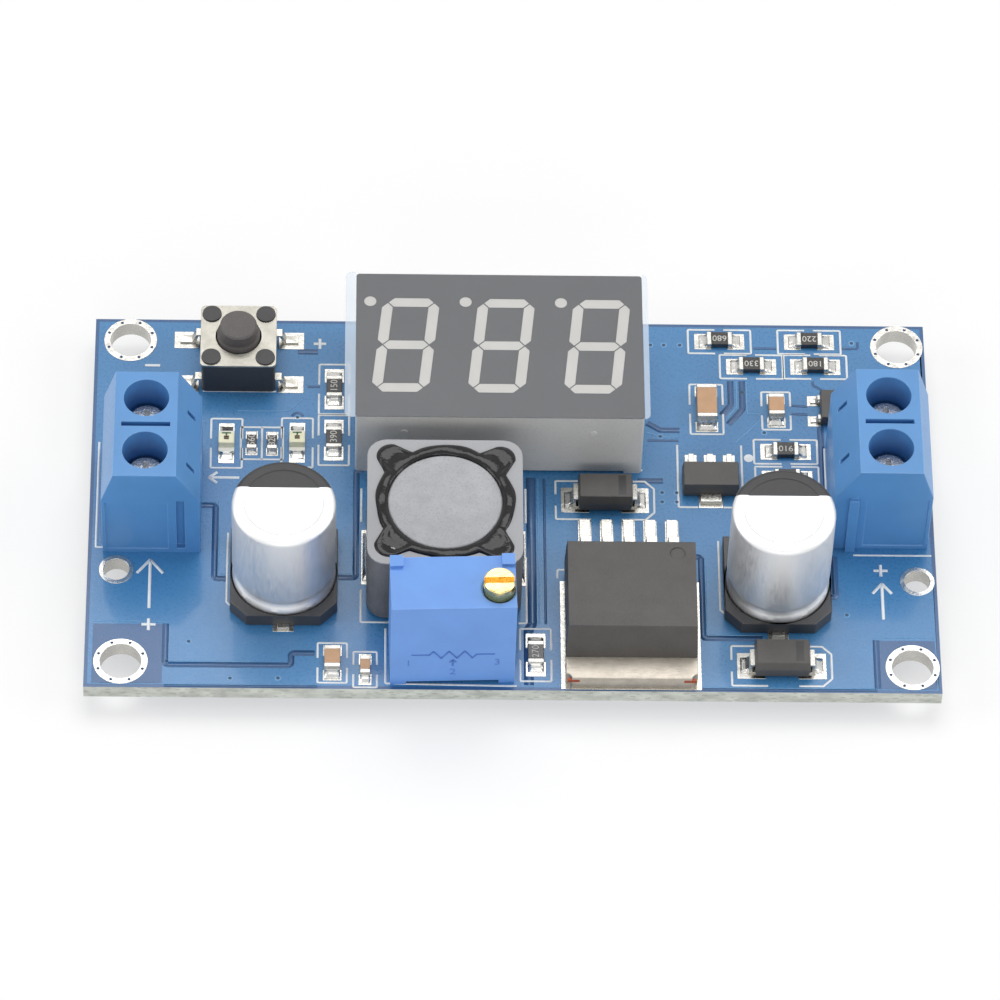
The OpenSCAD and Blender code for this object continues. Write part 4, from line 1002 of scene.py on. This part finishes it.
def open_box(x, y, w, h, gap, ends):
    """Two brackets of a w by h box round x, y, open by a gap across its sides or its ends."""
    left, right, near, far, half = x - w / 2, x + w / 2, y - h / 2, y + h / 2, gap / 2
    if ends == "sides":
        return [[(left, y + half), (left, far), (right, far), (right, y + half)],
                [(left, y - half), (left, near), (right, near), (right, y - half)]]
    return [[(x - half, far), (left, far), (left, near), (x - half, near)],
            [(x + half, far), (right, far), (right, near), (x + half, near)]]


def can_outline(node):
    """The printed corner beside a capacitor: its left side and its near left slope."""
    low = box_mm(node)[0]
    left, near = low.x - STEP_OUT, low.y
    return [(left, near + CAN_LINE_FAR), (left, near + CAN_CORNER),
            (left + CAN_CORNER - LINE_END, near + LINE_END)]


def diode_outline(node):
    """A long box round a diode, open at mid height, with its two right corners cut."""
    low, high = box_mm(node)
    x, y = (low.x + high.x) / 2, (low.y + high.y) / 2
    w, h, cut = 3.86, 1.85, 0.7
    left_end, right_end, half_gap = 1.1, 1.3, 0.55
    return [[(x - left_end, y + h), (x - w, y + h), (x - w, y + half_gap)],
            [(x - w, y - half_gap), (x - w, y - h), (x - left_end, y - h)],
            [(x + right_end, y - h), (x + w - cut, y - h), (x + w, y - h + cut), (x + w, y + h - cut),
             (x + w - cut, y + h), (x + right_end, y + h)]]


outlines = []
chips = island_boxes("resistors")
small_chips = [middle for middle, size in chips if size.x < SMALL_CHIP]
for middle, size in island_boxes("led_bases"):
    outlines += open_box(middle.x, middle.y, *LAMP_BOX, SIDE_GAP, "sides")
for middle, size in chips:
    if size.x < SMALL_CHIP:
        continue
    if size.x > size.y:
        outlines += open_box(middle.x, middle.y, *LYING_BOX, END_GAP, "ends")
    else:
        outlines += open_box(middle.x, middle.y, *STANDING_BOX, SIDE_GAP, "sides")
for middle, size in island_boxes("ceramic_capacitors"):
    outlines += open_box(middle.x, middle.y, size.x + 1.05, size.y + 2.4, SIDE_GAP, "sides")
outlines += [can_outline("output_capacitor_can"), can_outline("input_capacitor_can")]
outlines += diode_outline("catch_diode") + diode_outline("input_diode")
print(len(outlines), "outlines from the parts' own boxes")

# %% Outlines that follow their own shape
coil_low, coil_high = box_mm("inductor_shield")
pot_low, pot_high = box_mm("trimmer_case")
show_low, show_high = box_mm("display_housing")
tag_low, tag_high = box_mm("regulator_tab")
meter_low, meter_high = box_mm("meter_regulator")
out_low, out_high = box_mm("output_terminal_housing")
in_low = box_mm("input_terminal_housing")[0]
key_low, key_high = box_mm("switch_cover")
coil_left, coil_right, coil_near = coil_low.x - STEP_OUT, coil_high.x + STEP_OUT, coil_low.y - 0.25
meter_left, meter_right = meter_low.x - 0.3, meter_high.x + 0.25
meter_near, meter_far = meter_low.y - 1.0, meter_high.y + 2.6
tag_left, tag_right = tag_low.x - 0.5, tag_low.x + 0.45
pot_left, out_left = pot_low.x - 0.22, out_low.x - 0.55
show_near, in_near, key_near = show_low.y + 0.27, in_low.y - 0.3, key_low.y + 0.15
outlines += [
    [(coil_left, 1.1), (coil_left, -2.1)],
    [(coil_left, -8.6), (coil_left, coil_near), (coil_low.x + 2, coil_near)],
    [(coil_right, 1.2), (coil_right, -2.1)],
    [(coil_right, -5.4), (coil_right, coil_near), (coil_high.x - 0.2, coil_near)],
    [(pot_left, pot_high.y + 0.1), (pot_left, pot_low.y + 0.1), (pot_high.x + 0.2, pot_low.y - 0.06)],
    [(coil_high.x + 0.25, show_near), (show_high.x + 0.1, show_near)],
    [(tag_left, -7.35), (tag_left, -6.55), (tag_right, -6.55), (tag_right, -7.3)],
    [(meter_left, meter_far), (meter_left, meter_near), (14.3, meter_near)],
    [(16.3, meter_near), (meter_right, meter_near), (meter_right, meter_far)],
    [(out_left, out_high.y + 0.2), (out_left, -4.75), (out_low.x, -4.75)],
    [(26.3, in_near), (32.4, in_near)],
    [(in_low.x - 0.1, 5.4), (in_low.x - 0.1, 1.4)],
    [(key_low.x + 0.2, key_near), (key_high.x, key_near)],
]
PAIR_SIDE, PAIR_HALF = 0.85, 1.57
left = min(v.x for v in small_chips) - PAIR_SIDE
right = max(v.x for v in small_chips) + PAIR_SIDE
mid = (left + right) / 2
near, far = small_chips[0].y - PAIR_HALF, small_chips[0].y + PAIR_HALF
outlines.append([(left, near), (left, far), (right, far), (right, near), (left, near)])
outlines.append([(mid, near), (mid, far)])
bands("white_outlines", outlines, INK_W, INK_LIFT, white_ink, corner=0.1)
studs("pin_one_dots", [(18.4, 4.4)], 0.38, INK_LIFT, 0.02, white_ink, 28)

# %% Plain signs
SIGN_W = 0.24
HEAD_LONG, HEAD_HALF = 0.28, 0.22
SHAFT_STOP = 0.26
PLUS_GAP = 0.13


def arrow(x, y, length, turn):
    """A shaft and a head, centred on x, y, pointing along an angle in degrees. They don't overlap."""
    a = math.radians(turn)
    along, side = Vector((math.cos(a), math.sin(a))), Vector((-math.sin(a), math.cos(a)))
    tail, tip = Vector((x, y)) - along * length / 2, Vector((x, y)) + along * length / 2
    wings = [tuple(tip - along * length * HEAD_LONG + side * s * length * HEAD_HALF) for s in (1, -1)]
    return [[tuple(tail), tuple(tip - along * SHAFT_STOP)], [wings[0], tuple(tip), wings[1]]]


def plus(x, y, size):
    """A plus sign of three strokes that don't overlap."""
    half = size / 2
    return [[(x - half, y), (x - PLUS_GAP, y)], [(x + PLUS_GAP, y), (x + half, y)],
            [(x, y - half), (x, y + half)]]


signs = plus(-28.43, -12.03, 1.1) + plus(28.38, -6.36, 1.1)
signs += arrow(-28.43, -8.2, 4.6, 90) + arrow(28.42, -9.3, 3.4, 90)
signs += arrow(-22.85, 2.05, 2.4, 180)
signs += [[(-28.1, 13.0), (-29.3, 13.0)]] + plus(-15.45, 15.3, 1.0)
bands("white_signs", signs, SIGN_W, INK_LIFT, white_ink, corner=0.05)

# %% [markdown]
# ## Numbers on the chips
# A chip resistor carries its value in small pale digits. These digits are plain numbers chosen for
# this board. Text is a curve in Blender, so it is made a mesh first and then put in place.

# %% Digits
SAME_POINT = 0.0001 * MM


def flat_text(name, words, size, material, stand=0.01):
    """A list of (word, middle x, y, z in mm, turn in degrees), joined into one flat mesh piece."""
    joined = bmesh.new()
    for word, x, y, z, turn in words:
        curve = bpy.data.curves.new("word", "FONT")
        curve.body = word
        curve.size = size * MM
        curve.align_x = "CENTER"
        curve.align_y = "CENTER"
        curve.extrude = stand * MM / 2
        curve.resolution_u = 3
        source = bpy.data.objects.new("word", curve)
        scene.collection.objects.link(source)
        view = bpy.context.evaluated_depsgraph_get()
        mesh = bpy.data.meshes.new_from_object(source.evaluated_get(view))
        bpy.data.objects.remove(source)
        turned = Matrix.Rotation(math.radians(turn), 4, "Z")
        mesh.transform(Matrix.Translation(Vector((x, y, z)) * MM) @ turned)
        joined.from_mesh(mesh)
    bmesh.ops.remove_doubles(joined, verts=joined.verts, dist=SAME_POINT)
    mesh = bpy.data.meshes.new(name)
    joined.to_mesh(mesh)
    joined.free()
    return add_piece(name, mesh, material, "root")


DIGIT_SIZE = 0.78
DIGIT_LIFT = 0.004
NUMBERS = ("560", "820", "390", "150", "270", "680", "330", "910", "470", "220", "180")
chip_ink = finish("chip_print", paint(206, 204, 196), 0.5, drift=0.1, drift_mm=0.4, edge=0)
words = []
for number, (middle, size) in zip(NUMBERS, chips):
    turn = 180 if size.x > size.y else 90
    words.append((number, middle.x, middle.y, middle.z + size.z / 2 + DIGIT_LIFT, turn))
flat_text("resistor_digits", words, DIGIT_SIZE, chip_ink)
print(len(words), "chips numbered")

# %% [markdown]
# ## The coil's resin bead
# The coil is a drum inside a square ferrite shield. Black resin fills the gap between them and runs
# into the shield's four corner pockets, where it stands up in glossy lobes. Its outline is a circle
# joined with four smaller ones, so it can be swept round as one closed band.

# %% Resin bead
BEAD_IN, BEAD_OUT = 4.42, 5.42
LOBE_AT, LOBE_R = 5.95, 1.25
BEAD_RISE = 0.26
BEAD_STEPS, BEAD_ACROSS = 240, 10
BEAD_DEEP = 0.5
RESIN_SHINE = 0.3


def bead_reach(angle):
    """Outer radius of the bead at an angle."""
    reach = BEAD_OUT + 0.05 * math.sin(5 * angle + 1) + 0.04 * math.sin(11 * angle)
    for k in range(4):
        centre = math.radians(44 + 90 * k)
        off = math.remainder(angle - centre, math.tau)
        side = LOBE_AT * math.sin(off)
        if abs(off) < 0.6 and abs(side) < LOBE_R:
            round_part = LOBE_AT * math.cos(off) + math.sqrt(LOBE_R ** 2 - side ** 2)
            reach = max(reach, round_part)
    return reach


def bead_mesh():
    """The bead as a closed ring: a domed top, a hidden flat underside."""
    low, high = box_mm("inductor_core")
    middle, top = (low + high) / 2, high.z
    rough = [bead_reach(math.tau * i / BEAD_STEPS) for i in range(BEAD_STEPS)]
    near_by = range(-2, 3)
    reach = [sum(rough[(i + k) % BEAD_STEPS] for k in near_by) / len(near_by) for i in range(BEAD_STEPS)]
    shape = bmesh.new()
    rings = []
    for i in range(BEAD_STEPS):
        angle = math.tau * i / BEAD_STEPS
        wide = reach[i] - BEAD_IN
        ring = []
        for j in range(BEAD_ACROSS + 1):
            t = j / BEAD_ACROSS
            swell = math.sqrt(max(0.0, 1 - (2 * t - 1) ** 2))
            dip = 0.12 * math.exp(-((t - 0.55) / 0.2) ** 2) * min(1.0, max(0.0, (wide - 1.2)))
            wave = 0.03 * math.sin(7 * angle + 3 * t) + 0.02 * math.sin(17 * angle)
            z = top - 0.03 + (BEAD_RISE + wave) * swell - dip * 1.6
            r = BEAD_IN + wide * t
            ring.append(shape.verts.new(((middle.x + r * math.cos(angle)) * MM,
                                         (middle.y + r * math.sin(angle)) * MM, z * MM)))
        for r in (reach[i], BEAD_IN):
            ring.append(shape.verts.new(((middle.x + r * math.cos(angle)) * MM,
                                         (middle.y + r * math.sin(angle)) * MM, (top - BEAD_DEEP) * MM)))
        rings.append(ring)
    count = len(rings[0])
    for i in range(BEAD_STEPS):
        here, back = rings[i], rings[i - 1]
        for j in range(count):
            k = (j + 1) % count
            shape.faces.new((back[j], here[j], here[k], back[k]))
    bmesh.ops.recalc_face_normals(shape, faces=shape.faces)
    mesh = bpy.data.meshes.new("bead")
    shape.to_mesh(mesh)
    shape.free()
    return mesh


bead = add_piece("resin_bead", bead_mesh(), FINISHES["black_adhesive"], "root",
                 ("inductor_adhesive",))
for face in bead.data.polygons:
    face.use_smooth = True
resin = final_colour(FINISHES["black_adhesive"])[1]
resin.inputs["Specular IOR Level"].default_value = RESIN_SHINE
print("bead", len(bead.data.polygons), "faces")

# %% [markdown]
# The shield's top is painted pale and its sides dark: painted light on the top and painted shade on
# the sides. One mask on height tells them apart.

# %% Painted light on the shield's top
LIT_TOP_DEPTH = 0.12


def paint_lit_top(piece, node, lit_tone):
    """A paler tone painted on the topmost face of a piece: painted light on the top, with the sides left in
    painted shade.
    """
    tree, shader, tone = final_colour(piece.data.materials[0])
    mask = above(tree, object_axes(tree)["Z"], (box_mm(node)[1].z - LIT_TOP_DEPTH) * MM, 0.03 * MM)
    tree.links.new(mix_colour(tree, mask, tone, lit_tone), shader.inputs["Base Color"])


# Painted light: the shield's top made pale against its darker, shaded sides.
paint_lit_top(dressed["inductor_shield"], "inductor_shield", paint(164, 165, 168))
print("shield ground", LIT_TOP_DEPTH, "mm deep")

# %% [markdown]
# ## Clear film over the display
# The display still has its thin protective film, a little wider than the housing. Over the face it
# can hardly be seen, and past the sides it is a milky strip. Its alpha follows a mask, strong only
# outside the housing.

# %% Film
FACE_VEIL, SIDE_VEIL = 0.02, 0.34
FILM_GAP = 0.015


def film_finish():
    """Clear film, milky past the housing's two sides."""
    material = finish("clear_film", paint(226, 236, 246), 0.16, drift=0.03, bump=0.003, grain_mm=0.8,
                      edge=0.0)
    tree, shader = final_colour(material)[:2]
    x = object_axes(tree)["X"]
    right = above(tree, x, (show_high.x + 0.02) * MM, 0.02 * MM)
    left = above(tree, maths(tree, "MULTIPLY", x, -1.0), (-show_low.x + 0.02) * MM, 0.02 * MM)
    veil = remap(tree, maths(tree, "MAXIMUM", right, left), FACE_VEIL, SIDE_VEIL)
    tree.links.new(veil, shader.inputs["Alpha"])
    shader.inputs["Specular IOR Level"].default_value = 0.2
    return material


film_low = box_mm("display_film")[0]
film = dress("display_film", 0.0, film_finish())
film.modifiers.clear()
for face in film.data.polygons:
    face.use_smooth = False
for vert in film.data.vertices:
    if vert.co.z < (film_low.z + 0.01) * MM:
        vert.co.z += FILM_GAP * MM
print("film", len(film.data.polygons), "faces, lifted", FILM_GAP, "mm off the display's face")

# %% [markdown]
# The tool that moulded the housing pushed it out with round pins, and each pin left a small boss on
# the near side.

# %% Marks on the display's near side
def boss(name, centre, radius, stand, material):
    """A small round boss that points at the viewer, narrower at its end."""
    shape = bmesh.new()
    place = Matrix.Translation(Vector(centre) * MM) @ Matrix.Rotation(math.radians(90), 4, "X")
    bmesh.ops.create_cone(shape, cap_ends=True, segments=24, radius1=radius * MM, radius2=radius * MM * 0.8,
                          depth=stand * MM, matrix=place)
    mesh = bpy.data.meshes.new(name)
    shape.to_mesh(mesh)
    shape.free()
    return add_piece(name, mesh, material, "root")


ejector = finish("ejector_mark", paint(222, 220, 216), 0.4, edge=0)
for index, x in enumerate((-8.8, 6.0)):
    boss(f"ejector_mark_{index + 1}", (x, show_low.y - 0.01, 6.5), 0.3, 0.06, ejector)
print("two ejector marks")

# %% [markdown]
# ## Copper showing on the regulator's tab
# The tab was sheared from a plated strip, so bare copper shows where it was cut. Two small fields of
# copper sit on its near face, below the corners.

# %% Sheared copper
copper = finish("sheared_copper", paint(150, 74, 48), 0.45, 0.7, drift=0.2, drift_mm=0.3, edge=0.2)


def slab(name, low, high, material, radius=0.02):
    """A block between two corners, its edges rounded."""
    shape = bmesh.new()
    middle = (Vector(low) + Vector(high)) / 2 * MM
    size = (Vector(high) - Vector(low)) * MM
    bmesh.ops.create_cube(shape, size=1, matrix=Matrix.Translation(middle) @ Matrix.Diagonal((*size, 1)))
    mesh = bpy.data.meshes.new(name)
    shape.to_mesh(mesh)
    shape.free()
    obj = add_piece(name, mesh, material, "root")
    soften(obj, radius)
    return obj


for index, x in enumerate((tag_low.x + 0.12, tag_high.x - 1.07)):
    low, high = (x, tag_low.y - 0.015, 2.05), (x + 0.95, tag_low.y + 0.2, 2.36)
    slab(f"sheared_copper_{index + 1}", low, high, copper)
print("two fields of bare copper")

# %% [markdown]
# ## Small lamps
# Each lamp chip is a white base under a clear resin block. Through the resin one sees the tiny die
# and the green mark of its negative end.

# %% Dies and marks of the lamps
die_dark = finish("lamp_die", paint(96, 84, 60), 0.3, edge=0)
mark_green = finish("lamp_mark", paint(80, 120, 84), 0.4, edge=0)
die_paths, mark_paths = [], []
for middle, size in island_boxes("led_lenses"):
    die_paths += [[(middle.x - 0.2, middle.y), (middle.x + 0.2, middle.y)]]
    mark_paths += [[(middle.x - 0.35, middle.y + 0.45), (middle.x + 0.35, middle.y + 0.45)],
                   [(middle.x, middle.y + 0.45), (middle.x, middle.y + 0.15)]]
lens_top = box_mm("led_lenses")[1].z - TOP + 0.002
bands("lamp_dies", die_paths, 0.34, lens_top, die_dark, 0.0, 0.012)
bands("lamp_marks", mark_paths, 0.13, lens_top, mark_green, 0.0, 0.012)

# %% [markdown]
# ## Signs on the trimmer
# The trimmer's near face is moulded with a small circuit sign: a zigzag between two ends, with a
# slider from below, and the numbers of its three pins. They are shallow ribs of a deeper blue.

# %% Moulded sign
TRIM_TURN = 1.8
RIB_STAND = 0.05
FACE_OUT, SIGN_HIGH = 2.41, 5.2
rib_blue = finish("trimmer_rib", paint(62, 112, 198), 0.45, edge=0.3, edge_colour=paint(150, 184, 240))


def on_trimmer(obj):
    """Turn a flat piece, drawn on X and Y, to stand on the trimmer's near face."""
    turned = math.radians(TRIM_TURN)
    x = (pot_low.x + pot_high.x) / 2 + FACE_OUT * math.sin(turned)
    y = (pot_low.y + pot_high.y) / 2 - FACE_OUT * math.cos(turned)
    stood = Matrix.Rotation(turned, 4, "Z") @ Matrix.Rotation(math.radians(90), 4, "X")
    obj.data.transform(Matrix.Translation(Vector((x, y, SIGN_HIGH)) * MM) @ stood)


peaks = [(-1.5 + 0.6 * i, 0.45 * (-1) ** i) for i in range(6)]
zigzag = [(-3.2, 0), (-1.8, 0)] + peaks + [(1.8, 0), (3.2, 0)]
sign_paths = [zigzag, [(0, -1.5), (0, -0.75)], [(-0.25, -1.0), (0, -0.7), (0.25, -1.0)]]
rib = {"Width": 0.16 * MM, "Thickness": RIB_STAND * MM, "Corner": 0.02 * MM, "Material": rib_blue}
sign_mesh = baked("trimmer_sign", path_mesh(sign_paths, 0), BAND, rib)
on_trimmer(add_piece("trimmer_sign", sign_mesh, rib_blue, "root"))
pins = [("1", -3.4, -1.1, 0, 0), ("2", 0, -2.3, 0, 0), ("3", 3.4, -1.1, 0, 0)]
on_trimmer(flat_text("trimmer_pin_numbers", pins, 1.1, rib_blue, RIB_STAND))
print("trimmer sign with", len(pins), "pin numbers")

# %% [markdown]
# ## Dark cathode bands
# A diode's negative end is marked by a band printed across its top. It is a thin field of ink, a
# little darker than the moulding.

# %% Cathode bands
band_ink = finish("cathode_ink", paint(52, 50, 50), 0.35, drift=0.1, edge=0)
for node in ("catch_diode", "input_diode"):
    low, high = box_mm(node)
    slab("cathode_band_" + node, (high.x - 1.15, low.y + 0.32, high.z - 0.03),
         (high.x - 0.55, high.y - 0.32, high.z + 0.008), band_ink, 0.0)
print("two cathode bands")
